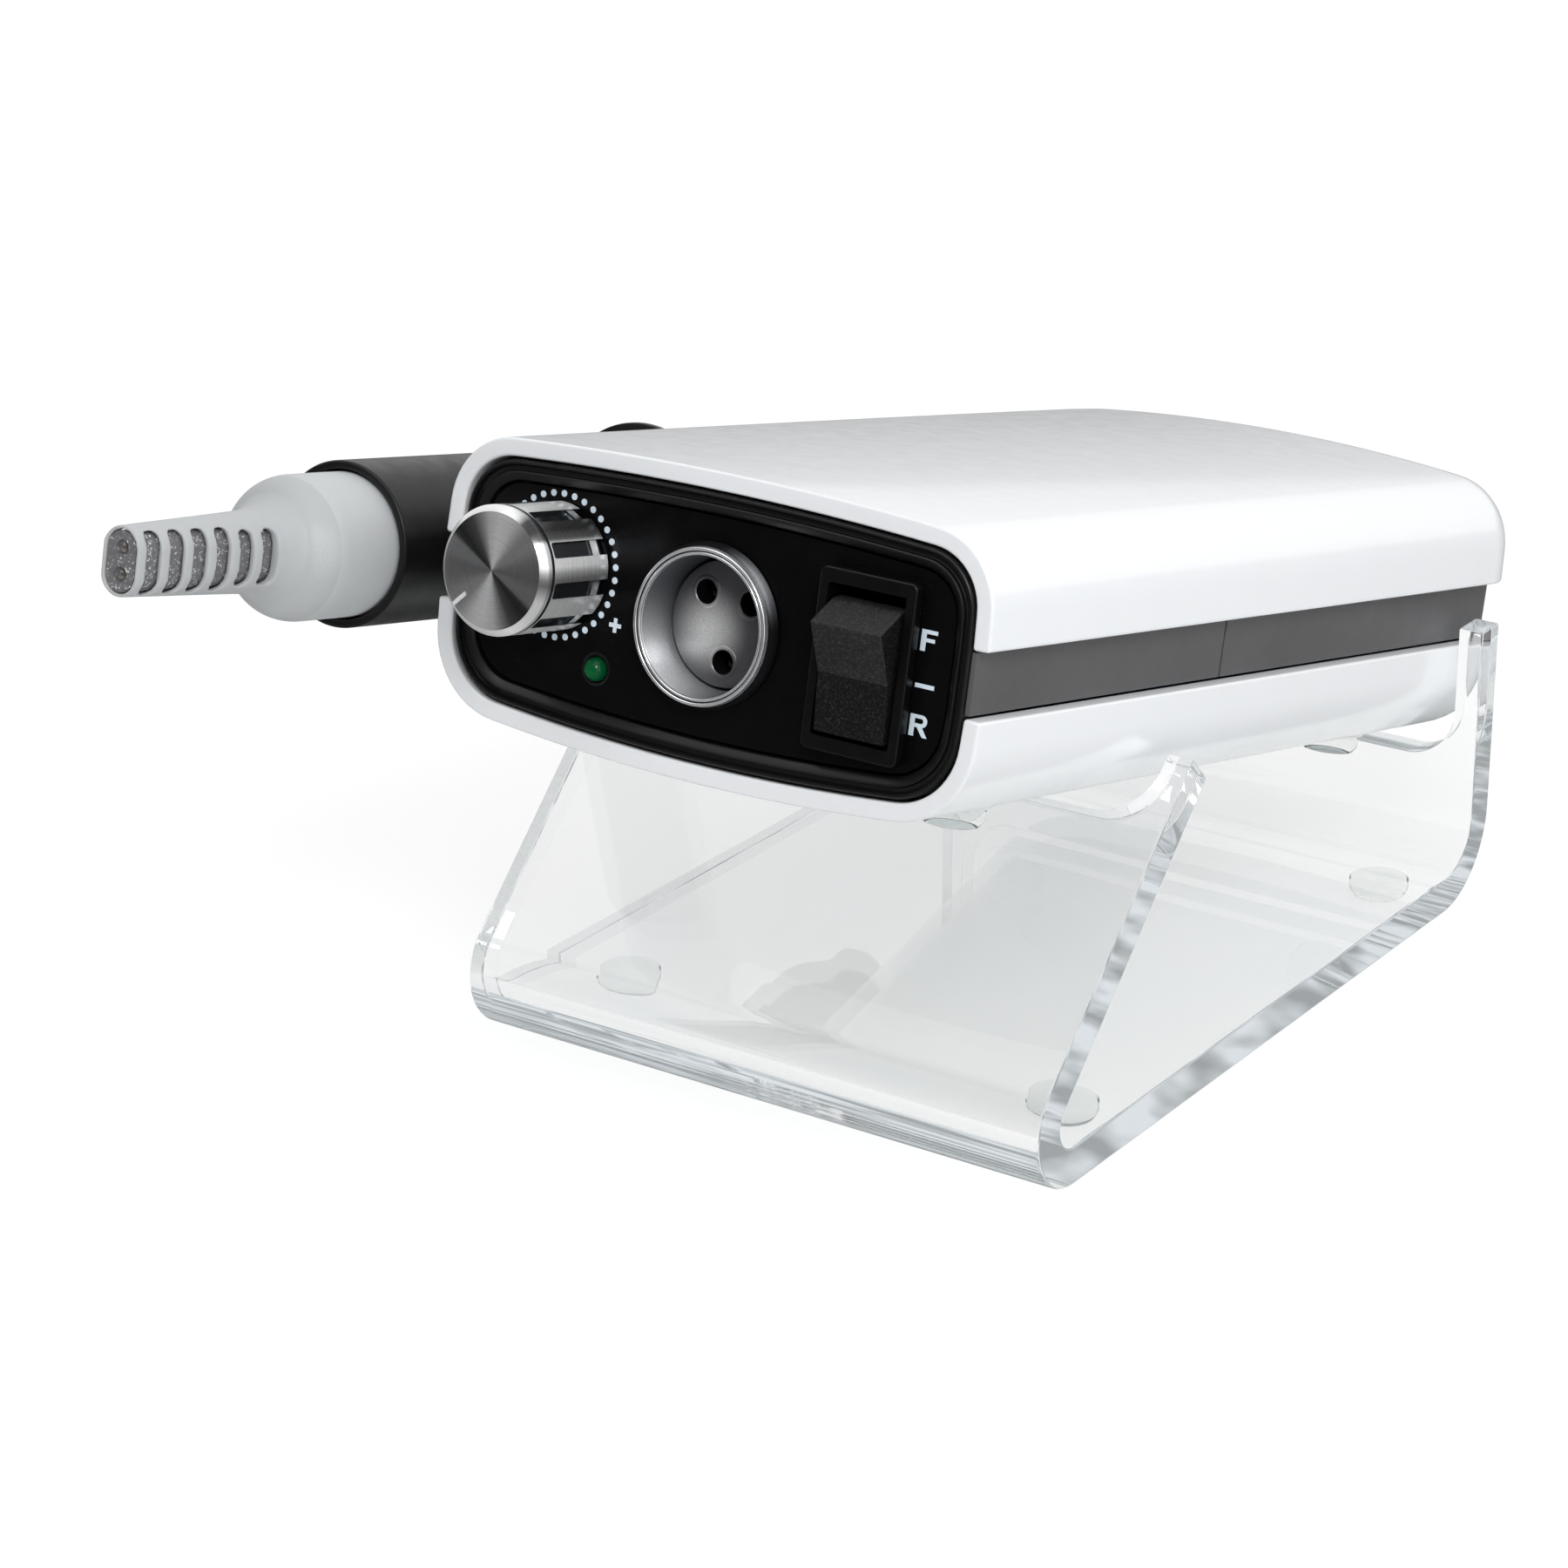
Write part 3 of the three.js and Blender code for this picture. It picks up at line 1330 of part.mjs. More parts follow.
add(box, 'switch_housing', makeSwitchHousing(), finishes.blackFrame);
add(box, 'pot_body', makePotBody(), finishes.steel);
add(box, 'pot_nut', makePotNut(), finishes.steel);
add(box, 'main_board', makeMainBoard(), finishes.board);
add(box, 'driver_heatsink', makeHeatsink(), finishes.satinSilver);
add(box, 'drive_capacitor', makeCapacitor(), finishes.charcoal);
add(box, 'battery_holder', makeBatteryHolder(), finishes.matteBlack);
for (const number of [1, 2, 3]) {
  add(box, `battery_cell_${number}`, makeBatteryCell(number), finishes.cellWrap);
}
add(box, 'power_jack', makePowerJack(), finishes.blackFrame);
bossPlaces.forEach(([x, y], i) => {
  add(box, `case_screw_${i + 1}`, makeCaseScrew(x, y), finishes.steel);
  add(box, `box_foot_${i + 1}`, makeBumper(x, y, -padFace), finishes.clearRubber);
});
add(box, 'handpiece_cradle', makeCradle(), finishes.matteBlack);

add(box, 'speed_knob', makeSpeedKnob(), finishes.aluminium);
add(box, 'knob_sleeve', makeKnobSleeve(), finishes.matteBlack);
add(box, 'pot_shaft', makePotShaft(), finishes.steel);
add(rocker, 'switch_rocker', makeSwitchRocker(), finishes.charcoal);

add(box, 'handpiece_housing', makePenHousing(), finishes.matteBlack);
add(box, 'strain_relief', makeStrainRelief(), finishes.greyRubber);
add(box, 'cord_core', makeCordCore(), finishes.darkCore);
add(box, 'motor_can', makeMotorCan(), finishes.steel);
add(box, 'rear_bearing', makeBearing(rearBearingY()), finishes.steel);
add(box, 'front_bearing', makeBearing(frontBearingY()), finishes.steel);
add(box, 'nose_cone', makeNoseCone(), finishes.matteBlack);
add(box, 'twist_ring', makeTwistRing(), finishes.matteBlack);
add(box, 'motor_rotor', makeRotor(), finishes.steel);
add(box, 'spindle_shaft', makeSpindle(), finishes.steel);
add(box, 'collet_chuck', makeCollet(), finishes.steel);

// The origin lies under the middle of the product, on the surface that it stands on.
product.updateMatrixWorld(true);
const bounds = new THREE.Box3().setFromObject(product, true);
const middle = bounds.getCenter(new THREE.Vector3());
product.position.set(-middle.x, -middle.y, -bounds.min.z);
product.updateMatrixWorld(true);

export default product;
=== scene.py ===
import math

import bpy
from bpy.props import FloatProperty, FloatVectorProperty, IntProperty, PointerProperty
from mathutils import Matrix, Vector


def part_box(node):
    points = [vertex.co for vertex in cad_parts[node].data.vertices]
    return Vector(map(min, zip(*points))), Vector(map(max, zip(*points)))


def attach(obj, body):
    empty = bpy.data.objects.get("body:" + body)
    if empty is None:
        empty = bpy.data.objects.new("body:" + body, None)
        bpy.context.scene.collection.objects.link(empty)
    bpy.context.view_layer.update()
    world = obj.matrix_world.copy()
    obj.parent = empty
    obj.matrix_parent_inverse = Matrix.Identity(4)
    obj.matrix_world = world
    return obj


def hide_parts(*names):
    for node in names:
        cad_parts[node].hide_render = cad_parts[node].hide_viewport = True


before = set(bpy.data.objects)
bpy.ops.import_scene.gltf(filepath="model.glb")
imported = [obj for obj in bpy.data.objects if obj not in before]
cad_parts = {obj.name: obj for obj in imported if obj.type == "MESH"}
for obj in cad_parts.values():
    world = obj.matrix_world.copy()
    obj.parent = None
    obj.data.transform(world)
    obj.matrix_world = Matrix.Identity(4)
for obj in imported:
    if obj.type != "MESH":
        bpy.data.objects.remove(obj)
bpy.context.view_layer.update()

bl_info = {
    "name": "Nail Drill Dresser",
    "version": (1, 0, 0),
    "blender": (4, 5, 0),
    "location": "View3D > Sidebar > Nail Drill",
    "description": "Builds the smooth pieces and finishes of a nail drill on its clear stand",
    "category": "Object",
}

MM = 0.001

# The stand lies in the product frame. The control box has its own frame, tilted front up on the stand:
# X right, Y from the front edge to the rear, Z up from the middle line of the side band.
STAND_HALF_WIDTH = 42.05
REAR_WALL_Y = 119.2
STAND_FEET = ((-32.4, 24), (32.4, 24), (-32.4, 106.5), (32.4, 106.5))
STAND_LOW, STAND_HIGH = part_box("acrylic_stand")
PRODUCT = Vector((STAND_LOW.x + STAND_HALF_WIDTH * MM, STAND_HIGH.y - REAR_WALL_Y * MM, STAND_LOW.z))
BOX_PITCH = math.radians(12.66)
BOX_PLACE = Vector((0, -5.9, 66.54))
STAND_FRAME = Matrix.Translation(PRODUCT)
BOX_FRAME = Matrix.Translation(PRODUCT + BOX_PLACE * MM) @ Matrix.Rotation(-BOX_PITCH, 4, "X")

# Control box, in millimetres of the box frame. A crown's pair is (front, rear), a part's place is (x, z) and
# a foot's is (x, y).
BOX_LENGTH = 144.5
BOX_HALF_WIDTH = 38.2
SEAM = 3.93
DRAFT = 0.045
UPPER_CROWN = (17.65, 18.55)
UPPER_CROWN_RADIUS = (440, 255)
UPPER_CORNER = 9
LOWER_CROWN = 18.65
LOWER_CROWN_RADIUS = 290
LOWER_CORNER = 10.5
REAR_CORNER = 11.3
REAR_EDGE = 5.7
BAND_RECESS = 1.8
PANEL_FACE = 1.2
SEAT = 0.3
KNOB_LENGTH = 12.65
KNOB = (-22.2, 2.67)
SOCKET = (0.1, -0.35)
LED = (-14.9, -8.4)
SWITCH = (22.04, -0.62)
PEN = (-50, 0.4)
BAND_HALF_HEIGHT = 3.6
BAND_STRIP_END = 59.3
DIAL_DOTS = 35
DIAL_RADIUS = 8.52
SOCKET_HOLE_CIRCLE = 4.45
SOCKET_LIP = -0.35
ROCKER_PIVOT = 3.9
PAD_FACE = -18.1
BOX_FEET = ((-24, 21), (24, 21), (-24, 119), (24, 119))
WIRE_SPREAD = 1.55

# Angles round the parts' axes: radians, but for those that a name ends in DEGREES
DIAL_START = 2.12
POINTER_TURN = math.radians(224)
FLUTE_DEGREES = 62.9
SOCKET_HOLE_DEGREES = (132, 42, 275)
ROCKER_TILT = math.radians(15.15)

# In metres: where the boot's drum turns in, and how close two corners are that are made one
BOOT_JOIN = -15.0 * MM
DOUBLED = 0.0008 * MM


# Settings

class ShellSettings(bpy.types.PropertyGroup):
    """Sizes of the two white shells and the grey band between them."""
    wall: FloatProperty(name="Wall", description="Thickness of the shells' walls", default=2.2 * MM,
                        min=0.5 * MM, max=5 * MM, unit="LENGTH")
    rim_round: FloatProperty(name="Rim rounding", description="Rounding of the shells' open edges",
                             default=0.4 * MM, min=0, max=1 * MM, unit="LENGTH")


class KnobSettings(bpy.types.PropertyGroup):
    """Sizes of the speed knob."""
    radius: FloatProperty(name="Radius", description="Radius of the knob's grip", default=7.65 * MM,
                          min=5 * MM, max=9 * MM, unit="LENGTH")
    flutes: IntProperty(name="Flutes", description="Number of milled flutes round the grip", default=10,
                        min=4, max=24)
    flute_width: FloatProperty(name="Flute width", description="Width of one flute", default=1.9 * MM,
                               min=0.5 * MM, max=3 * MM, unit="LENGTH")
    flute_depth: FloatProperty(name="Flute depth", description="Depth of one flute", default=0.55 * MM,
                               min=0.1 * MM, max=1 * MM, unit="LENGTH")


class StandSettings(bpy.types.PropertyGroup):
    """Sizes of the clear stand."""
    sheet: FloatProperty(name="Sheet", description="Thickness of the bent sheet", default=5.1 * MM,
                         min=3 * MM, max=8 * MM, unit="LENGTH")
    edge: FloatProperty(name="Edge", description="Width of the polished chamfer round the sheet's edges",
                        default=0.35 * MM, min=0, max=1 * MM, unit="LENGTH")


class ColourSettings(bpy.types.PropertyGroup):
    """Main colours of the product."""
    shell: FloatVectorProperty(name="Shell", description="Colour of the gloss white shells",
                               subtype="COLOR", size=3, default=(0.84, 0.86, 0.88), min=0, max=1)
    band: FloatVectorProperty(name="Band", description="Colour of the recessed side band",
                              subtype="COLOR", size=3, default=(0.092, 0.092, 0.095), min=0, max=1)
    grip: FloatVectorProperty(name="Grip", description="Colour of the handpiece",
                              subtype="COLOR", size=3, default=(0.006, 0.006, 0.0065), min=0, max=1)
    boot: FloatVectorProperty(name="Boot", description="Colour of the cord's strain relief boot",
                              subtype="COLOR", size=3, default=(0.47, 0.49, 0.50), min=0, max=1)
    lamp: FloatVectorProperty(name="Lamp", description="Colour of the status light's lens",
                              subtype="COLOR", size=3, default=(0.001, 0.10, 0.028), min=0, max=1)


class StudioSettings(bpy.types.PropertyGroup):
    """Light of the studio."""
    ambient: FloatProperty(name="Ambient", description="Strength of the light from all round",
                           default=0.95, min=0, max=3)
    key: FloatProperty(name="Key", description="Power of the large soft lamp on the right, in watts",
                       default=2.4, min=0, max=100)
    fill: FloatProperty(name="Fill", description="Power of the soft lamp on the left, in watts",
                        default=0.3, min=0, max=100)
    overhead: FloatProperty(name="Overhead", description="Strength of the bright patch overhead",
                            default=1.5, min=0, max=20)
    side: FloatProperty(name="Side card", description="Strength of the white card on the right",
                        default=0.24, min=0, max=20)


class NailDrillSettings(bpy.types.PropertyGroup):
    """All settings of the nail drill."""
    shell: PointerProperty(type=ShellSettings)
    knob: PointerProperty(type=KnobSettings)
    stand: PointerProperty(type=StandSettings)
    colour: PointerProperty(type=ColourSettings)
    studio: PointerProperty(type=StudioSettings)


# Modelling tools

def to_object_mode():
    """Leaves edit mode and deselects everything, so that an operator acts on the new piece only."""
    if bpy.context.object and bpy.context.object.mode != "OBJECT":
        bpy.ops.object.mode_set(mode="OBJECT")
    bpy.ops.object.select_all(action="DESELECT")


def make_active(obj):
    to_object_mode()
    obj.select_set(True)
    bpy.context.view_layer.objects.active = obj


def edit(obj, select=True):
    make_active(obj)
    bpy.ops.object.mode_set(mode="EDIT")
    bpy.ops.mesh.select_mode(type="VERT")
    bpy.ops.mesh.select_all(action="SELECT" if select else "DESELECT")


def turn_outward():
    bpy.ops.mesh.select_all(action="SELECT")
    bpy.ops.mesh.normals_make_consistent(inside=False)


def tidy(obj, outward=True):
    """Merges doubled corners, drops loose edges and turns the faces outwards."""
    edit(obj)
    bpy.ops.mesh.remove_doubles(threshold=DOUBLED)
    bpy.ops.mesh.delete_loose()
    if outward:
        turn_outward()
    bpy.ops.object.mode_set(mode="OBJECT")
    return obj


def outline(name, points):
    """A closed wire with one corner at each point, in millimetres."""
    to_object_mode()
    bpy.ops.mesh.primitive_circle_add(vertices=len(points), radius=MM)
    obj = bpy.context.object
    obj.name = obj.data.name = name
    for vertex, point in zip(obj.data.vertices, points):
        vertex.co = Vector(point) * MM
    return obj


def turned(name, profile, centre, steps=96, upright=False):
    """A piece turned about a line through centre: parallel to Y at (x, z), or upright at (x, y).

    The profile holds (radius, place along the line).
    """
    x, other = centre
    middle = (x, other, 0) if upright else (x, 0, other)
    obj = outline(name, [(x + radius, other, along) if upright else (x + radius, along, other)
                         for radius, along in profile])
    edit(obj)
    bpy.ops.mesh.spin(steps=steps, angle=2 * math.pi, center=[c * MM for c in middle],
                      axis=(0, 0, 1) if upright else (0, 1, 0))
    return tidy(obj)


def prism(name, points, step):
    """A flat outline of points (x, y, z), filled and pulled along step."""
    obj = outline(name, points)
    edit(obj)
    bpy.ops.mesh.edge_face_add()
    bpy.ops.mesh.extrude_region_move(TRANSFORM_OT_translate={"value": Vector(step) * MM})
    return tidy(obj)


def plate(name, points, y0, y1):
    """An outline of (x, z) pairs pulled from y0 to y1."""
    return prism(name, [(x, y0, z) for x, z in points], (0, y1 - y0, 0))


def lofted(name, rows):
    """A surface through rows of points of equal count, made from a grid."""
    to_object_mode()
    columns = len(rows[0])
    bpy.ops.mesh.primitive_grid_add(x_subdivisions=columns - 1, y_subdivisions=len(rows) - 1, size=2)
    obj = bpy.context.object
    obj.name = obj.data.name = name
    for vertex in obj.data.vertices:
        column = round((vertex.co.x + 1) / 2 * (columns - 1))
        row = round((vertex.co.y + 1) / 2 * (len(rows) - 1))
        vertex.co = Vector(rows[row][column]) * MM
    return obj


def cap_ends(obj):
    """Closes each open end with a face."""
    tidy(obj, outward=False)
    edit(obj)
    bpy.ops.mesh.fill_holes(sides=0)
    turn_outward()
    bpy.ops.object.mode_set(mode="OBJECT")
    return obj


def apply_modifier(obj, kind, **values):
    modifier = obj.modifiers.new(kind.title(), kind)
    for key, value in values.items():
        setattr(modifier, key, value)
    make_active(obj)
    bpy.ops.object.modifier_apply(modifier=modifier.name)
    return obj


def rounded(obj, width, segments=3, angle=30):
    """Rounds every edge that is sharper than the angle."""
    return apply_modifier(obj, "BEVEL", width=width * MM, segments=segments, limit_method="ANGLE",
                          angle_limit=math.radians(angle), miter_outer="MITER_ARC")


def carve(obj, *tools, operation="DIFFERENCE"):
    for tool in tools:
        apply_modifier(obj, "BOOLEAN", object=tool, operation=operation, solver="EXACT")
        bpy.data.objects.remove(tool)
    return obj


def copied(obj, place):
    """A copy with its own mesh, moved by a matrix."""
    copy = obj.copy()
    copy.data = obj.data.copy()
    copy.data.transform(place)
    bpy.context.collection.objects.link(copy)
    return copy


def merged(name, pieces):
    """Joins loose copies into one piece."""
    to_object_mode()
    for piece in pieces:
        piece.select_set(True)
    bpy.context.view_layer.objects.active = pieces[0]
    bpy.ops.object.join()
    pieces[0].name = pieces[0].data.name = name
    return pieces[0]


def finish_piece(obj, finish, slot, *nodes, body="control_box", place=BOX_FRAME, smooth=32):
    """Places a piece in the product, smooths it, gives it its finishes, ties it to its body and hides the CAD
    nodes it stands in for.
    """
    make_active(obj)
    bpy.ops.object.shade_smooth_by_angle(angle=math.radians(smooth))
    apply_modifier(obj, "WEIGHTED_NORMAL", keep_sharp=True, weight=100)
    obj.matrix_world = place @ obj.matrix_world
    bpy.ops.object.transform_apply(location=True, rotation=True, scale=True)
    for name in (finish,) if isinstance(finish, str) else finish:
        obj.data.materials.append(FINISH[name])
    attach(obj, body)
    if nodes:
        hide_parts(*nodes)


def give(finish, *nodes):
    """Gives a finish to CAD nodes that stay as they are."""
    for node in nodes:
        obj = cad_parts[node]
        if not obj.material_slots:
            obj.data.materials.append(None)
        for material_slot in obj.material_slots:
            material_slot.material = FINISH[finish]


def polar(centre, radius, angle):
    return centre[0] + radius * math.cos(angle), centre[1] + radius * math.sin(angle)


def arc(cx, cy, radius, start, end, steps):
    """Points on an arc, angles in degrees."""
    angles = [math.radians(start + (end - start) * i / steps) for i in range(steps + 1)]
    return [polar((cx, cy), radius, angle) for angle in angles]


def round_rectangle(cx, cz, half_wide, half_high, corner, steps=8):
    points = []
    for quarter, (sx, sz) in enumerate([(1, 1), (-1, 1), (-1, -1), (1, -1)]):
        x, z = cx + sx * (half_wide - corner), cz + sz * (half_high - corner)
        points += arc(x, z, corner, 90 * quarter, 90 * quarter + 90, steps)
    return points


def circle(cx, cy, radius):
    """Twenty-four points round a circle."""
    return arc(cx, cy, radius, 0, 345, 23)


def rectangle(x0, z0, x1, z1):
    return [(x0, z0), (x1, z0), (x1, z1), (x0, z1)]


def round_ended(half, corner, start, end, steps):
    """A strip with two round corners at its start, as (x, place along it)."""
    shape = [(half, end), (-half, end)] + arc(corner - half, start + corner, corner, 180, 270, steps)
    return shape + arc(half - corner, start + corner, corner, 270, 360, steps)


def closed(row):
    return row + row[:1]


def cross_pin(name, start, centre, radius, length):
    """A round pin pulled along X from start, about the line through centre (y, z)."""
    return prism(name, [(start, y, z) for y, z in circle(*centre, radius)], (length, 0, 0))


def turned_plate(name, corners, centre, turn, start, depth):
    """A plate of (x, z) corners that is turned about the Y line through centre (x, z)."""
    aim = Matrix.Rotation(turn, 3, "Y")
    points = [aim @ Vector((x, start, z)) + Vector((centre[0], 0, centre[1])) for x, z in corners]
    return prism(name, points, (0, depth, 0))


# Finishes

# The usual range of a noise, and the scales of broad mottling and of uneven gloss, per metre
NOISE_LOW, NOISE_HIGH = 0.3, 0.7
MOTTLING, SMUDGES = 60.0, 350.0
# Widths of the spun rings, the tool lines and the blasted speckle, in metres
RING_WIDTH, TOOL_LINE, SPECKLE = 1 / 9000.0, 0.00008, 0.00014
# A ray that bounced more often than this inside the clear sheet ends in an emitted glow: painted light for
# its polished edge
MOST_GLOSSY, MOST_BOUNCES = 3.5, 8.5


class Nodes:
    """A short way to add and join the nodes of a material or a world."""

    def __init__(self, name, world=False):
        self.owner = (bpy.data.worlds if world else bpy.data.materials).new(name)
        self.owner.use_nodes = True
        self.tree = self.owner.node_tree
        self.tree.nodes.clear()
        self.output = self.tree.nodes.new("ShaderNodeOutputWorld" if world else "ShaderNodeOutputMaterial")

    def add(self, kind, inputs=None, **values):
        node = self.tree.nodes.new(kind)
        for key, value in values.items():
            setattr(node, key, value)
        for key, value in (inputs or {}).items():
            self.feed(node.inputs[key], value)
        return node

    def feed(self, socket, value):
        if isinstance(value, bpy.types.NodeSocket):
            self.tree.links.new(value, socket)
        else:
            socket.default_value = value

    def finish(self, shader):
        self.tree.links.new(shader, self.output.inputs["Surface"])
        return self.owner

    def skin(self, inputs):
        """Ends the material with one Principled shader."""
        return self.finish(self.add("ShaderNodeBsdfPrincipled", inputs).outputs["BSDF"])

    def maths(self, operation, *values, clamp=False):
        inputs = dict(enumerate(values))
        return self.add("ShaderNodeMath", inputs, operation=operation, use_clamp=clamp).outputs[0]

    def vector(self, operation, one, two, output="Vector"):
        return self.add("ShaderNodeVectorMath", {0: one, 1: two}, operation=operation).outputs[output]

    def parts(self, vector):
        return self.add("ShaderNodeSeparateXYZ", {0: vector}).outputs

    def mix(self, share, one, two):
        return self.add("ShaderNodeMixShader", {0: share, 1: one, 2: two}).outputs[0]

    def place(self):
        return self.add("ShaderNodeTexCoord").outputs["Object"]

    def noise(self, vector, scale, detail=3.0):
        return self.add("ShaderNodeTexNoise", {"Vector": vector, "Scale": scale, "Detail": detail,
                                               "Roughness": 0.55}).outputs["Fac"]

    def lines(self, along, detail):
        """Fine lines across a length, from noise in one dimension."""
        return self.add("ShaderNodeTexNoise", {"W": along, "Scale": 1.0, "Detail": detail},
                        noise_dimensions="1D").outputs["Fac"]

    def ramp(self, value, low, high, out_low, out_high, kind="LINEAR"):
        return self.add("ShaderNodeMapRange", {"Value": value, "From Min": low, "From Max": high,
                                               "To Min": out_low, "To Max": out_high},
                        interpolation_type=kind).outputs["Result"]

    def spread(self, noise, low, high):
        """Maps the usual range of a noise to low and high."""
        return self.ramp(noise, NOISE_LOW, NOISE_HIGH, low, high)

    def blend(self, factor, one, two):
        node = self.add("ShaderNodeMix", data_type="RGBA")
        self.feed(node.inputs["Factor"], factor)
        self.feed(node.inputs["A"], one)
        self.feed(node.inputs["B"], two)
        return node.outputs["Result"]

    def curve(self, value, stops):
        """A grey value read off a list of (position, grey) stops."""
        node = self.add("ShaderNodeValToRGB", {"Fac": value})
        ends = node.color_ramp.elements
        ends[0].position, ends[1].position = stops[0][0], stops[-1][0]
        for position, _ in stops[1:-1]:
            ends.new(position)
        for element, (_, grey) in zip(ends, stops):
            element.color = (grey, grey, grey, 1)
        return node.outputs["Color"]

    def bump(self, height, strength, distance):
        return self.add("ShaderNodeBump", {"Height": height, "Strength": strength,
                                           "Distance": distance}).outputs["Normal"]

    def plainly_seen(self, path):
        """One where the camera sees a thing itself or through glass."""
        return self.maths("MAXIMUM", path.outputs["Is Camera Ray"], path.outputs["Is Transmission Ray"])


def rgba(colour, factor=1.0):
    return tuple(min(1.0, c * factor) for c in colour[:3]) + (1.0,)


def moulded(name, colour, roughness, grain=0.00012, depth=0.000004, mottle=0.06, sheen_spread=0.05,
            metallic=0.0, coat=0.0, coat_roughness=0.08, specular=0.5, painted_glints=0.0):
    """A moulded or blasted surface: fine grain, faint mottling, uneven gloss and painted glints as pale
    flecks.
    """
    n = Nodes(name)
    place = n.place()
    fine = n.noise(place, 1 / grain, 2.0)
    tint = n.blend(n.spread(n.noise(place, MOTTLING, 4.0), 0.0, 1.0),
                   rgba(colour, 1 - mottle), rgba(colour, 1 + mottle))
    # Pale flecks on the grain: painted glints
    if painted_glints:
        tint = n.blend(n.ramp(fine, 0.50, 0.72, 0.0, painted_glints), tint, PAINTED_GLINT)
    gloss = n.spread(n.noise(place, SMUDGES), roughness - sheen_spread, roughness + sheen_spread)
    return n.skin({"Base Color": tint, "Roughness": gloss, "Metallic": metallic, "Coat Weight": coat,
                   "Coat Roughness": coat_roughness, "Specular IOR Level": specular,
                   "Normal": n.bump(fine, 0.5, depth)})


def acrylic():
    """Clear cast sheet with a faint cool tint. Light goes straight through it to the things behind.

    Rays that bounce on inside it for long end in an emitted glow in pale streaks: painted light that stands
    in for the light of a polished edge.
    """
    n = Nodes("clear cast acrylic")
    tint = n.blend(n.spread(n.noise(n.place(), 30.0, 2.0), 0.0, 1.0),
                   (0.905, 0.915, 0.92, 1), (0.925, 0.925, 0.92, 1))
    glass = n.add("ShaderNodeBsdfPrincipled", {
        "Base Color": tint, "Roughness": 0.0, "IOR": 1.49, "Transmission Weight": 1.0})
    clear = n.add("ShaderNodeBsdfTransparent", {"Color": (0.93, 0.95, 0.95, 1)})
    drawn = n.add("ShaderNodeMapping", {"Vector": n.place(), "Scale": (0.12, 0.30, 1.6)}).outputs["Vector"]
    # Emitted glow in streaks: painted light for the sheet's polished edges
    glow_streak = n.ramp(n.noise(drawn, 260.0, 2.0), 0.40, 0.60, 0.48, 1.0)
    glow = n.add("ShaderNodeEmission", {"Color": (0.80, 0.85, 0.88, 1), "Strength": glow_streak})
    path = n.add("ShaderNodeLightPath")
    straight = n.maths("MAXIMUM", path.outputs["Is Shadow Ray"], path.outputs["Is Diffuse Ray"])
    deep = n.maths("MAXIMUM", n.maths("GREATER_THAN", path.outputs["Glossy Depth"], MOST_GLOSSY),
                   n.maths("GREATER_THAN", path.outputs["Ray Depth"], MOST_BOUNCES))
    lit = n.mix(deep, glass.outputs["BSDF"], glow.outputs[0])
    return n.finish(n.mix(straight, lit, clear.outputs["BSDF"]))


def bumper_rubber():
    """Clear soft bumper: slightly milky, with a satin face."""
    n = Nodes("clear bumper")
    place = n.place()
    milk = n.blend(n.noise(place, 400.0), (0.86, 0.89, 0.88, 1), (0.96, 0.97, 0.96, 1))
    return n.skin({"Base Color": milk, "Roughness": n.spread(n.noise(place, 1500.0), 0.03, 0.08), "IOR": 1.06,
                   "Transmission Weight": 0.97, "Normal": n.bump(n.noise(place, 2500.0), 0.2, 0.00001)})


def box_place(n, centre):
    """Object coordinates turned and moved so that a point (x, z) of the box's front is their origin."""
    origin = BOX_FRAME @ (Vector((centre[0], 0.0, centre[1])) * MM)
    back = n.vector("SUBTRACT", n.place(), tuple(origin))
    return n.add("ShaderNodeMapping", {"Vector": back, "Rotation": (BOX_PITCH, 0, 0)},
                 vector_type="POINT").outputs["Vector"]


def distance_to(n, local, x=0.0, z=0.0):
    """Distance from the Y line through the point (x, z) of the coordinates, and the Y coordinate."""
    part = n.parts(local)
    across = n.maths("SUBTRACT", part["X"], x * MM)
    up = n.maths("SUBTRACT", part["Z"], z * MM)
    squares = n.maths("MULTIPLY_ADD", up, up, n.maths("MULTIPLY", across, across))
    return n.maths("SQRT", squares), part["Y"]


def painted_sheen_round(n, local, start, span, stops):
    """A grey read off stops by the angle round the Y line: as shares of a span that begins at start. It
    paints highlights and shade into a colour.
    """
    part = n.parts(local)
    angle = n.maths("ARCTAN2", part["Z"], part["X"])
    return n.curve(n.maths("FRACT", n.maths("DIVIDE", n.maths("ADD", angle, start), span)), stops)


def spun_face():
    """Lathe-spun aluminium: fine rings cut round the knob's axis. Its bright and dark wedges come partly from
    anisotropic gloss and partly from painted highlights and painted shade in the colour.
    """
    n = Nodes("spun aluminium face")
    local = box_place(n, KNOB)
    rings = n.lines(n.maths("MULTIPLY", distance_to(n, local)[0], 1 / RING_WIDTH), 4.0)
    # Painted highlights and painted shade: bright and dark wedges by angle, multiplied into the colour
    painted_wedges = painted_sheen_round(n, local, 2 * math.pi, math.pi, PAINTED_SPUN_SHEEN)
    fine = n.blend(rings, (0.70, 0.70, 0.73, 1), (1.0, 1.0, 1.0, 1))
    tangent = n.add("ShaderNodeTangent", direction_type="UV_MAP", uv_map="spun")
    return n.skin({"Base Color": n.vector("MULTIPLY", painted_wedges, fine), "Metallic": 0.82,
                   "Roughness": n.spread(rings, 0.26, 0.40), "Anisotropic": 0.9,
                   "Anisotropic Rotation": 0.25, "Tangent": tangent.outputs["Tangent"],
                   "Normal": n.bump(rings, 0.25, 0.000006)})


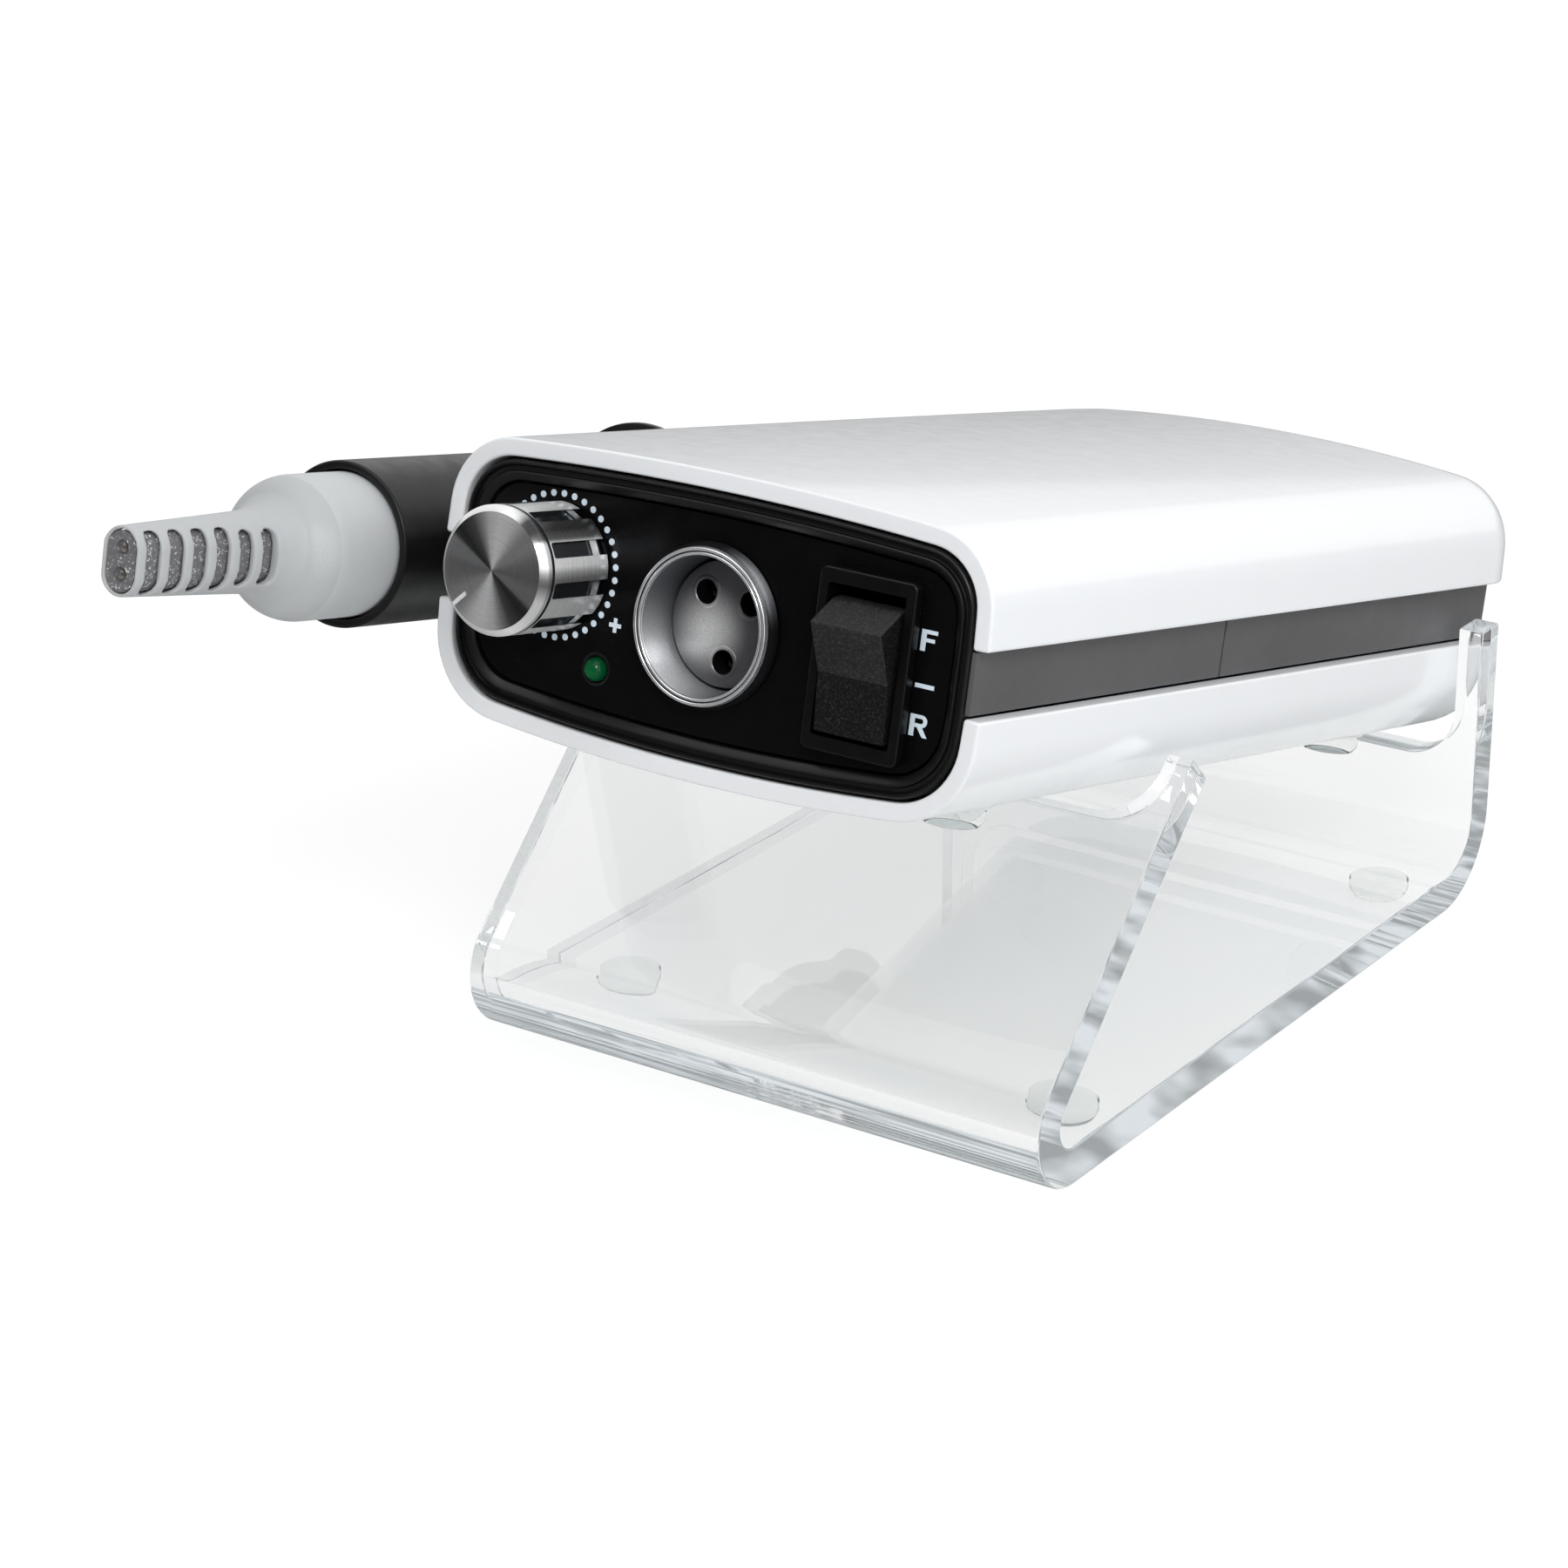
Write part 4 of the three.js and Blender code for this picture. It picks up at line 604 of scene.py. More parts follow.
def turned_metal(name, colour, roughness, centre, depth=0.000003, metallic=1.0, painted_sheen=None):
    """Turned metal: fine tool lines that run round the axis. Greys given by the angle round the axis can be
    multiplied into the colour: painted highlights and painted shade of a polished round side.
    """
    n = Nodes(name)
    local = box_place(n, centre)
    radius, along = distance_to(n, local)
    lines = n.lines(n.maths("MULTIPLY", n.maths("ADD", radius, along), 1 / TOOL_LINE), 3.0)
    tint = n.blend(n.noise(n.place(), 300.0), rgba(colour, 0.93), rgba(colour, 1.05))
    # Painted highlights and painted shade, read off by the angle round the axis and multiplied into the
    # colour
    if painted_sheen:
        tint = n.vector("MULTIPLY", painted_sheen_round(n, local, math.pi, 2 * math.pi, painted_sheen), tint)
    return n.skin({"Base Color": tint, "Metallic": metallic, "Normal": n.bump(lines, 0.3, depth),
                   "Roughness": n.spread(lines, roughness * 0.8, roughness * 1.3)})


def blasted_with_painted_light(name, dark, light, spot, reach, roughness, metallic):
    """Blasted silver with fine speckle, painted brightest round one spot (x, z) from the socket's middle and
    fading to the dark colour further away: a painted highlight and painted shade.
    """
    n = Nodes(name)
    away, _ = distance_to(n, box_place(n, SOCKET), *spot)
    place = n.place()
    speckle = n.noise(place, 1 / SPECKLE, 2.0)
    # Painted highlight round the spot, fading into painted shade in the dark colour
    tint = n.blend(n.ramp(away, 0.0, reach * MM, 1.0, 0.0, "SMOOTHSTEP"), rgba(dark), rgba(light))
    tint = n.blend(n.spread(speckle, 0.0, 0.35), tint, rgba(dark, 0.7))
    return n.skin({"Base Color": tint, "Metallic": metallic, "Normal": n.bump(speckle, 0.5, 0.00002),
                   "Roughness": n.spread(n.noise(place, SMUDGES), roughness - 0.05, roughness + 0.05)})


def boot_elastomer(colour):
    """Soft grey moulding, lighter on the drum and darker behind the line where the drum turns in, as painted
    shade; a scuffed patch beside that line has a lower roughness and a painted highlight.
    """
    n = Nodes("light grey elastomer")
    local = box_place(n, PEN)
    along = n.parts(local)["Y"]
    # Painted shade: the shoulder and tail behind the join are darker than the drum, which shows as a faint
    # join
    drum = n.ramp(along, BOOT_JOIN - 0.00006, BOOT_JOIN + 0.00006, 0.0, 1.0)
    place = n.place()
    mottle = n.noise(place, MOTTLING, 4.0)
    body = n.blend(mottle, rgba(colour, 0.93), rgba(colour, 0.99))
    tint = n.blend(drum, body, n.blend(mottle, rgba(colour, 1.06), rgba(colour, 1.11)))
    # A scuffed patch on the shoulder beside the join: lower roughness, and a painted highlight that lightens
    # its colour
    away = n.vector("DISTANCE", local, (0.0075, BOOT_JOIN - 0.0016, 0.0012), "Value")
    near = n.maths("MULTIPLY", n.ramp(away, 0.0015, 0.0036, 1.0, 0.0),
                   n.ramp(along, BOOT_JOIN, BOOT_JOIN + 0.0001, 1.0, 0.0))
    scuff_and_sheen = n.maths("MULTIPLY", near, n.ramp(n.noise(place, 5500.0), 0.34, 0.66, 0.2, 1.0))
    tint = n.blend(n.maths("MULTIPLY", scuff_and_sheen, 0.26), tint, rgba(colour, 1.5))
    return n.skin({"Base Color": tint, "Roughness": n.ramp(scuff_and_sheen, 0.0, 1.0, 0.5, 0.3),
                   "Subsurface Weight": 0.12, "Subsurface Scale": 0.001,
                   "Normal": n.bump(n.noise(place, 4000.0, 2.0), 0.5, 0.00001)})


def lamp_lens(colour):
    """Dark green tinted lens with a glossy skin, paler in the middle as a painted highlight and darker
    towards its rim as painted shade.
    """
    n = Nodes("green lens")
    radius, _ = distance_to(n, box_place(n, LED))
    # Painted highlight in the middle of the lens, painted shade towards its rim
    painted_lit_middle = n.blend(n.ramp(radius, 0.0, 0.0016, 0.0, 1.0), rgba(colour, 1.3), rgba(colour, 0.35))
    cloud = n.blend(n.noise(n.place(), 1800.0), painted_lit_middle, rgba(colour, 0.9))
    return n.skin({"Base Color": cloud, "Roughness": n.spread(n.noise(n.place(), 1200.0), 0.10, 0.16),
                   "Coat Weight": 0.45, "Coat Roughness": 0.015, "Coat IOR": 1.45,
                   "Specular IOR Level": 0.1, "Normal": n.bump(n.noise(n.place(), 900.0), 0.1, 0.00002)})


def speckled(name, dark, light, share, size):
    """A dark ground with pale flecks, for the cord's sheath."""
    n = Nodes(name)
    place = n.place()
    cells = n.add("ShaderNodeTexVoronoi", {"Vector": place, "Scale": 1 / size, "Randomness": 1.0})
    fleck = n.ramp(cells.outputs["Distance"], share, share + 0.12, 1.0, 0.0)
    grain = n.noise(place, 0.6 / size, 4.0)
    patch = n.maths("MULTIPLY", fleck, n.ramp(grain, 0.5, 0.62, 0.0, 1.0))
    tint = n.blend(patch, n.blend(grain, rgba(dark, 0.6), rgba(dark, 1.5)), rgba(light))
    return n.skin({"Base Color": tint, "Roughness": n.spread(grain, 0.55, 0.8),
                   "Normal": n.bump(grain, 0.8, 0.00008)})


def circuit_board():
    """Green board with paler copper tracks."""
    n = Nodes("circuit board")
    place = n.place()
    bricks = n.add("ShaderNodeTexBrick", {"Vector": place, "Scale": 220.0, "Mortar Size": 0.06,
                                          "Color1": (0.02, 0.16, 0.06, 1), "Color2": (0.018, 0.14, 0.055, 1),
                                          "Mortar": (0.06, 0.30, 0.12, 1)})
    return n.skin({"Base Color": bricks.outputs["Color"], "Coat Weight": 0.3,
                   "Roughness": n.spread(n.noise(place, 500.0), 0.3, 0.45),
                   "Normal": n.bump(bricks.outputs["Fac"], 0.3, 0.00003)})


FINISH = {}
# Colour of pale flecks that are painted glints on a textured moulding
PAINTED_GLINT = (0.11, 0.11, 0.115, 1)
# Painted highlights and painted shade of the spun face over half a turn, as (share of the half turn, grey)
PAINTED_SPUN_SHEEN = ((0.0, 0.27), (0.15, 0.32), (0.28, 0.50), (0.38, 0.90), (0.48, 1.0), (0.56, 0.85), (0.62, 0.40),
              (0.68, 0.12), (0.78, 0.04), (0.82, 0.06), (0.85, 0.30), (0.93, 0.34), (1.0, 0.27))
# Painted highlights and painted shade of the knob's polished side round a whole turn that starts on the left,
# as (share of the turn, grey)
PAINTED_SIDE_SHEEN = ((0.0, 0.80), (0.25, 0.80), (0.33, 0.95), (0.39, 0.70), (0.445, 0.62), (0.467, 0.36),
              (0.489, 0.14), (0.505, 0.20), (0.52, 0.45), (0.535, 1.0), (0.592, 1.0), (0.603, 0.14),
              (0.63, 0.04), (0.665, 0.05), (0.69, 0.60), (0.72, 0.95), (0.80, 0.95), (1.0, 0.80))


def make_finishes(colour):
    """Makes every material once and keeps it under a plain name."""
    FINISH.update({
        "shell": moulded("gloss white moulding", colour.shell, 0.22, grain=0.0006, depth=0.0000002,
                         mottle=0.006, sheen_spread=0.02, coat=0.35, coat_roughness=0.06),
        "band": moulded("satin grey moulding", colour.band, 0.42, grain=0.0002, depth=0.000006, mottle=0.09),
        "frame": moulded("satin black moulding", (0.006, 0.006, 0.0065), 0.34, grain=0.00015, mottle=0.1,
                         specular=0.38),
        "panel": moulded("gloss black panel", (0.003, 0.003, 0.0035), 0.24, grain=0.0004, depth=0.000002,
                         mottle=0.15, sheen_spread=0.05, specular=0.15),
        "mark": moulded("pale printed marks", (0.70, 0.80, 0.88), 0.45, grain=0.00006, mottle=0.05),
        "spun": spun_face(),
        # The knob's side carries painted highlights and painted shade by the angle round its axis
        "knob": turned_metal("turned aluminium grip", (0.98, 0.99, 1.0), 0.22, KNOB, metallic=0.38,
                             painted_sheen=PAINTED_SIDE_SHEEN),
        # The flutes' dark colour is painted shade in their hollows; the pointer cut's pale colour is a
        # painted highlight
        "flute": turned_metal("polished flutes", (0.22, 0.24, 0.26), 0.10, KNOB, metallic=0.95),
        "pointer": moulded("bright pointer cut", (0.86, 0.87, 0.88), 0.3, grain=0.0001, mottle=0.05,
                           metallic=0.2),
        # Painted light in the socket: the cup's wall a painted highlight at its lower left, the outer cone
        # dark as a painted reflection of the black panel with a painted highlight at its upper right, the
        # floor a painted hot spot at its lower left
        "socket": blasted_with_painted_light("blasted silver cup", (0.13, 0.14, 0.155), (0.96, 0.98, 1.0), (-5.5, -7), 11.5,
                              0.32, 0.62),
        "rim": turned_metal("bright socket rim", (0.90, 0.91, 0.93), 0.18, SOCKET, depth=0.0000008,
                            metallic=0.85),
        "cone": blasted_with_painted_light("blasted silver cone", (0.03, 0.03, 0.034), (0.55, 0.57, 0.60), (7, 7), 6.5,
                            0.36, 0.8),
        "insert": blasted_with_painted_light("blasted silver floor", (0.11, 0.11, 0.12), (1.0, 1.0, 1.0), (-2.2, -1.0), 6.0,
                              0.36, 0.5),
        # Brass darkened as painted shade: the contacts sit deep in the socket's holes
        "brass": moulded("darkened brass contact", (0.09, 0.055, 0.03), 0.3, grain=0.0001, metallic=1.0,
                         mottle=0.15),
        "rocker": moulded("textured charcoal rocker", (0.004, 0.004, 0.0043), 0.52, grain=0.00026,
                          depth=0.00012, mottle=0.3, sheen_spread=0.1, specular=0.22, painted_glints=0.22),
        # The rocker's upper half: a lighter copy of the charcoal with more glints, painted light from above
        "rocker_lit": moulded("lit charcoal rocker", (0.015, 0.015, 0.0155), 0.48, grain=0.00026,
                               depth=0.00014, mottle=0.4, sheen_spread=0.1, specular=0.3, painted_glints=0.35),
        "bezel": moulded("satin black bezel", (0.003, 0.003, 0.0035), 0.30, grain=0.00015, mottle=0.12,
                         specular=0.28),
        "lens": lamp_lens(colour.lamp),
        "acrylic": acrylic(),
        "bumper": bumper_rubber(),
        "grip": moulded("satin black grip", colour.grip, 0.36, grain=0.00012, depth=0.000005, mottle=0.1,
                        specular=0.30),
        "boot": boot_elastomer(colour.boot),
        "core": speckled("speckled cord sheath", (0.14, 0.14, 0.148), (0.66, 0.67, 0.68), 0.34, 0.0003),
        "wire": moulded("tinned strands", (0.55, 0.52, 0.48), 0.3, grain=0.00006, depth=0.00003,
                        metallic=1.0, mottle=0.3),
        "steel": moulded("plain steel", (0.52, 0.53, 0.54), 0.32, grain=0.0002, metallic=1.0),
        "board": circuit_board(),
        "wrap": moulded("blue shrink wrap", (0.03, 0.12, 0.30), 0.35, grain=0.0004, mottle=0.1),
        "charcoal": moulded("charcoal sleeve", (0.03, 0.03, 0.032), 0.5),
    })


# The box's cross-section

def shell_arc(half_wide, crown, corner, crown_radius):
    """Drafted side, corner arc and crown arc, from the right seam over to the left, as (x, height)."""
    slant = math.hypot(1, DRAFT)
    crown_centre = crown - crown_radius
    corner_x, corner_z = half_wide - corner, crown - corner
    for _ in range(6):
        corner_z = crown_centre + math.sqrt((crown_radius - corner) ** 2 - corner_x ** 2)
        corner_x = half_wide - (corner_z - SEAM) * DRAFT - corner * slant
    side = math.degrees(math.atan(DRAFT))
    top = math.degrees(math.atan2(corner_z - crown_centre, corner_x))
    half = [(half_wide, SEAM)] + arc(corner_x, corner_z, corner, side, top, 12)
    half += arc(0, crown_centre, crown_radius, top, 90, 10)[1:]
    return half + [(-x, z) for x, z in reversed(half[:-1])]


def upper_form(y):
    """Crown, crown radius and corner radius of the upper shell at a station. The lower shell is even."""
    share = min(1.0, max(0.0, y / BOX_LENGTH))
    mix = [a + (b - a) * share for a, b in (UPPER_CROWN, UPPER_CROWN_RADIUS)]
    return mix[0], mix[1], UPPER_CORNER


def lower_form(_):
    return LOWER_CROWN, LOWER_CROWN_RADIUS, LOWER_CORNER


def shell_outline(form, y):
    """The outer outline of a shell at a station, rounded off towards the rear end."""
    crown, crown_radius, corner = form(y)
    into_corner = max(0.0, y - (BOX_LENGTH - REAR_CORNER))
    into_edge = max(0.0, y - (BOX_LENGTH - REAR_EDGE))
    narrow = REAR_CORNER - math.sqrt(max(0.0, REAR_CORNER ** 2 - into_corner ** 2))
    low = REAR_EDGE - math.sqrt(max(0.0, REAR_EDGE ** 2 - into_edge ** 2))
    top = crown - low
    share = (top - SEAM) / (crown - SEAM)
    return shell_arc(BOX_HALF_WIDTH - narrow, top, max(1.2, corner * share), crown_radius)


def front_outline(inset):
    """The whole front outline, drawn in by an inset, as (x, z)."""
    halves = []
    for crown, crown_radius, corner in (upper_form(0), lower_form(0)):
        halves.append(shell_arc(BOX_HALF_WIDTH - inset, crown - inset, corner - inset * 0.75,
                                crown_radius - inset))
    upper, lower = halves
    return upper + [(x, -z) for x, z in reversed(lower)]


def make_shell(name, form, sign, settings):
    straight = BOX_LENGTH - REAR_CORNER
    run = [straight * i / 8 for i in range(8)]
    bend = [straight + REAR_CORNER * math.sin(math.radians(90 * i / 16)) for i in range(17)]
    rows = [[(x, y, sign * z) for x, z in shell_outline(form, y)] for y in run + bend]
    obj = lofted(name, rows)
    edit(obj, select=False)
    bpy.ops.object.mode_set(mode="OBJECT")
    for vertex in obj.data.vertices:
        vertex.select = vertex.co.y > (BOX_LENGTH - 0.001) * MM
    bpy.ops.object.mode_set(mode="EDIT")
    bpy.ops.mesh.edge_face_add()
    turn_outward()
    bpy.ops.object.mode_set(mode="OBJECT")
    middle = min(obj.data.polygons, key=lambda face: (face.center - Vector((0, 0.05, sign * 0.018))).length)
    if middle.normal.z * sign < 0:
        edit(obj)
        bpy.ops.mesh.flip_normals()
        bpy.ops.object.mode_set(mode="OBJECT")
    apply_modifier(obj, "SOLIDIFY", thickness=settings.wall, offset=-1.0, use_even_offset=True)
    return rounded(obj, settings.rim_round / MM, angle=45)


class NAILDRILL_OT_shells(bpy.types.Operator):
    """Builds the upper and the lower white shell"""
    bl_idname = "nail_drill.shells"
    bl_label = "Shells"
    bl_options = {"REGISTER", "UNDO"}

    def execute(self, context):
        settings = context.scene.nail_drill.shell
        upper = make_shell("upper_white_shell", upper_form, 1, settings)
        lower = make_shell("lower_white_shell", lower_form, -1, settings)
        inside = -16.6
        pad = [(0, inside), (4.6, inside), (4.6, PAD_FACE + 0.2), (4.4, PAD_FACE), (0, PAD_FACE)]
        for foot in BOX_FEET:
            carve(lower, turned("pad", pad, foot, steps=64, upright=True), operation="UNION")
        finish_piece(upper, "shell", "white_gloss", "upper_shell", smooth=30)
        finish_piece(lower, "shell", "white_gloss", "lower_shell", smooth=30)
        return {"FINISHED"}


def band_path(inset, front):
    """The band's plan from the right front round the rear to the left front, as (x, y)."""
    corner = REAR_CORNER - inset
    x, y = BOX_HALF_WIDTH - inset - corner, BOX_LENGTH - REAR_CORNER
    right = [(BOX_HALF_WIDTH - inset, front)] + arc(x, y, corner, 0, 90, 16)
    return right + [(-px, py) for px, py in reversed(right)]


class NAILDRILL_OT_band(bpy.types.Operator):
    """Builds the grey band: two front strips and the long rear band with the power jack's hole"""
    bl_idname = "nail_drill.band"
    bl_label = "Side band"
    bl_options = {"REGISTER", "UNDO"}

    def execute(self, context):
        wall, strip_wall, jack_radius = 3.2, 0.7, 3.2
        start = BAND_STRIP_END + SEAT
        plan = band_path(BAND_RECESS, start) + list(reversed(band_path(BAND_RECESS + wall, start)))
        band = prism("rear_band", [(x, y, -BAND_HALF_HEIGHT) for x, y in plan], (0, 0, 2 * BAND_HALF_HEIGHT))
        carve(band, plate("hole", circle(0, 0, jack_radius), BOX_LENGTH - 12, BOX_LENGTH + 2))
        rounded(band, 0.14, segments=2, angle=50)
        finish_piece(band, "band", "grey_satin", "mid_frame")
        for side, label in ((1, "right"), (-1, "left")):
            outer = side * (BOX_HALF_WIDTH - BAND_RECESS)
            corners = rectangle(outer - side * strip_wall, -BAND_HALF_HEIGHT, outer, BAND_HALF_HEIGHT)
            strip = plate(f"band_strip_{label}", corners, 0.6, BAND_STRIP_END)
            rounded(strip, 0.14, segments=2)
            finish_piece(strip, "band", "grey_satin", f"rail_cover_{label}")
        return {"FINISHED"}


class NAILDRILL_OT_front(bpy.types.Operator):
    """Builds the black front frame and gives the panel its gloss"""
    bl_idname = "nail_drill.front"
    bl_label = "Front frame and panel"
    bl_options = {"REGISTER", "UNDO"}

    def execute(self, context):
        # The frame's section as (inset from the box's outline, distance behind the box's front)
        profile = [(2.5, 8), (2.5, 0.75), (2.58, 0.45), (2.72, 0.27), (2.9, 0.2), (3.02, 0.24), (3.1, 0.38),
                   (3.15, 0.6), (3.2, 0.86), (3.3, 0.95), (3.68, 0.95), (3.78, 0.88), (3.84, 0.6),
                   (3.9, 0.4), (4.02, 0.33), (4.2, 0.38), (4.6, 0.62), (4.9, 0.84), (5.0, 1.0), (5.0, 3.5),
                   (5.9, 3.5), (5.9, 5), (4.7, 5), (4.7, 8), (2.5, 8)]
        rows = [closed([(x, y, z) for x, z in front_outline(inset)]) for inset, y in profile]
        ring = tidy(lofted("black_front_ring", rows))
        finish_piece(ring, "frame", "black_satin", "front_frame", smooth=40)
        give("panel", "front_panel")
        return {"FINISHED"}


class NAILDRILL_OT_marks(bpy.types.Operator):
    """Prints the dial's dots, its plus and the switch's legends on the panel"""
    bl_idname = "nail_drill.marks"
    bl_label = "Printed marks"
    bl_options = {"REGISTER", "UNDO"}

    def execute(self, context):
        back, front = PANEL_FACE + 0.05, PANEL_FACE - 0.03
        dots = []
        for i in range(DIAL_DOTS):
            angle = DIAL_START - i * 2 * math.pi / DIAL_DOTS
            dots.append(plate("dot", circle(*polar(KNOB, DIAL_RADIUS, angle), 0.40), back, front))
        marks = [merged("dial_dots", dots)]

        a, b = 0.86, 0.25
        plus = [(a, b), (b, b), (b, a), (-b, a), (-b, b), (-a, b), (-a, -b), (-b, -b), (-b, -a), (b, -a),
                (b, -b), (a, -b)]
        letter_f = [(0, 0), (0.66, 0), (0.66, 1.05), (1.82, 1.05), (1.82, 1.48), (0.66, 1.48), (0.66, 1.99),
                    (2.1, 1.99), (2.1, 2.44), (0, 2.44)]
        letter_r = [(0, 0), (0.64, 0), (0.64, 1.04), (1.0, 1.04), (1.80, 0), (2.46, 0), (1.70, 1.06)]
        letter_r += arc(1.57, 1.79, 0.70, -70, 90, 14) + [(0, 2.49)]
        bowl = [(0.64, 1.5)] + arc(1.48, 1.79, 0.29, -90, 90, 10) + [(0.64, 2.08)]
        place_r = (28.52, -7.27)

        def placed(shape, corner):
            return [(corner[0] + x, corner[1] + z) for x, z in shape]

        for name, shape, corner in (("plus_mark", plus, (-12.9, -2.8)), ("letter_F", letter_f, (28.61, 2.41)),
                                    ("dash_mark", rectangle(0, 0, 2.53, 0.49), (28.57, -1.76)),
                                    ("letter_R", letter_r, place_r)):
            marks.append(plate(name, placed(shape, corner), back, front))
        carve(marks[-1], plate("hole", placed(bowl, place_r), back + 1, front - 1))
        for mark in marks:
            finish_piece(mark, "mark", "grey_rubber")
        return {"FINISHED"}


def spun_map(obj, centre):
    """A UV map whose U runs round the axis, which sets the direction of the spun rings."""
    layer = obj.data.uv_layers.new(name="spun")
    x0, z0 = centre[0] * MM, centre[1] * MM
    for face in obj.data.polygons:
        first = None
        for loop in face.loop_indices:
            co = obj.data.vertices[obj.data.loops[loop].vertex_index].co
            radius = math.hypot(co.x - x0, co.z - z0)
            turn = math.atan2(co.z - z0, co.x - x0) / (2 * math.pi)
            if radius < 1e-7:
                turn = math.atan2(face.center.z - z0, face.center.x - x0) / (2 * math.pi)
            if first is None:
                first = turn
            turn += round(first - turn)
            layer.data[loop].uv = (turn, radius / (10 * MM))


class NAILDRILL_OT_knob(bpy.types.Operator):
    """Builds the turned aluminium speed knob with its ring groove, flutes and pointer"""
    bl_idname = "nail_drill.knob"
    bl_label = "Speed knob"
    bl_options = {"REGISTER", "UNDO"}

    def execute(self, context):
        settings = context.scene.nail_drill.knob
        radius = settings.radius / MM
        face, back = PANEL_FACE - KNOB_LENGTH, PANEL_FACE - SEAT
        chamfer, groove, waist = 0.78, 0.35, face + 1.5
        bore, hollow, shelf = 5.3, 6.2, back - 3.6
        profile = [(r, face) for r in (0, 1.2, 2.4, 3.6, 4.8, 6.0, radius - chamfer)]
        profile += [(radius, face + chamfer), (radius, waist), (radius - groove, waist),
                    (radius - groove, waist + 0.5), (radius, waist + 0.5), (radius, back), (hollow, back),
                    (hollow, shelf), (bore, shelf), (bore, face + 1.4), (0, face + 1.4)]
        knob = turned("aluminium_knob", profile, KNOB, steps=144)

        # A flute's floor rises under the pale bar near the panel and drops behind it.
        bar = (back - 2.4, back - 1.1)
        half, depth, corner = settings.flute_width / MM / 2, settings.flute_depth / MM, 0.4
        start, end, sky = face + 1, back + 2, -3
        floor = [(start, depth), (bar[0], depth), (bar[0], depth - 0.25), (bar[1], depth - 0.25),
                 (bar[1], depth + 0.3), (end, depth + 0.3), (end, sky), (start, sky)]
        shape = round_ended(half, corner, face + 2.2, back + 1, 4)
        flute = prism("flute", [(x, y, radius - 2) for x, y in shape], (0, 0, 4))
        steps = prism("steps", [(-half - 1, y, radius - deep) for y, deep in floor], (2 * half + 2, 0, 0))
        carve(flute, steps, operation="INTERSECT")
        centre = Matrix.Translation(Vector((KNOB[0], 0, KNOB[1])) * MM)
        turns = [math.radians(FLUTE_DEGREES + 360 * i / settings.flutes) for i in range(settings.flutes)]
        tools = [copied(flute, centre @ Matrix.Rotation(turn, 4, "Y")) for turn in turns]
        bpy.data.objects.remove(flute)

        inner, half_wide = 4.6, 0.24
        tools.append(turned_plate("pointer", rectangle(inner, half_wide, 9, -half_wide), KNOB, -POINTER_TURN,
                                  face - 1, 1.25))
        carve(knob, *tools)
        rounded(knob, 0.1, segments=2, angle=40)
        spun_map(knob, KNOB)
        # Slot 2 paints the flutes dark as painted shade; slot 3 paints the pointer cut pale as a painted
        # highlight
        for polygon in knob.data.polygons:
            x, y, z = polygon.center / MM
            x, z = x - KNOB[0], z - KNOB[1]
            reach = math.hypot(x, z)
            run = x * math.cos(POINTER_TURN) + z * math.sin(POINTER_TURN)
            if y < face + 0.02:
                polygon.material_index = 1
            elif y < face + 0.3 and inner - 0.1 < run and reach * reach - run * run < 0.3 * 0.3:
                polygon.material_index = 3
            elif reach < radius - 0.05 and y > waist - 0.1 and not bar[0] + 0.05 < y < bar[1] - 0.05:
                polygon.material_index = 2
        finish_piece(knob, ("knob", "spun", "flute", "pointer"), "bright_aluminium", "speed_knob",
                     body="speed_dial", smooth=28)
        give("steel", "pot_shaft", "pot_body", "pot_nut")
        give("charcoal", "knob_sleeve")
        return {"FINISHED"}


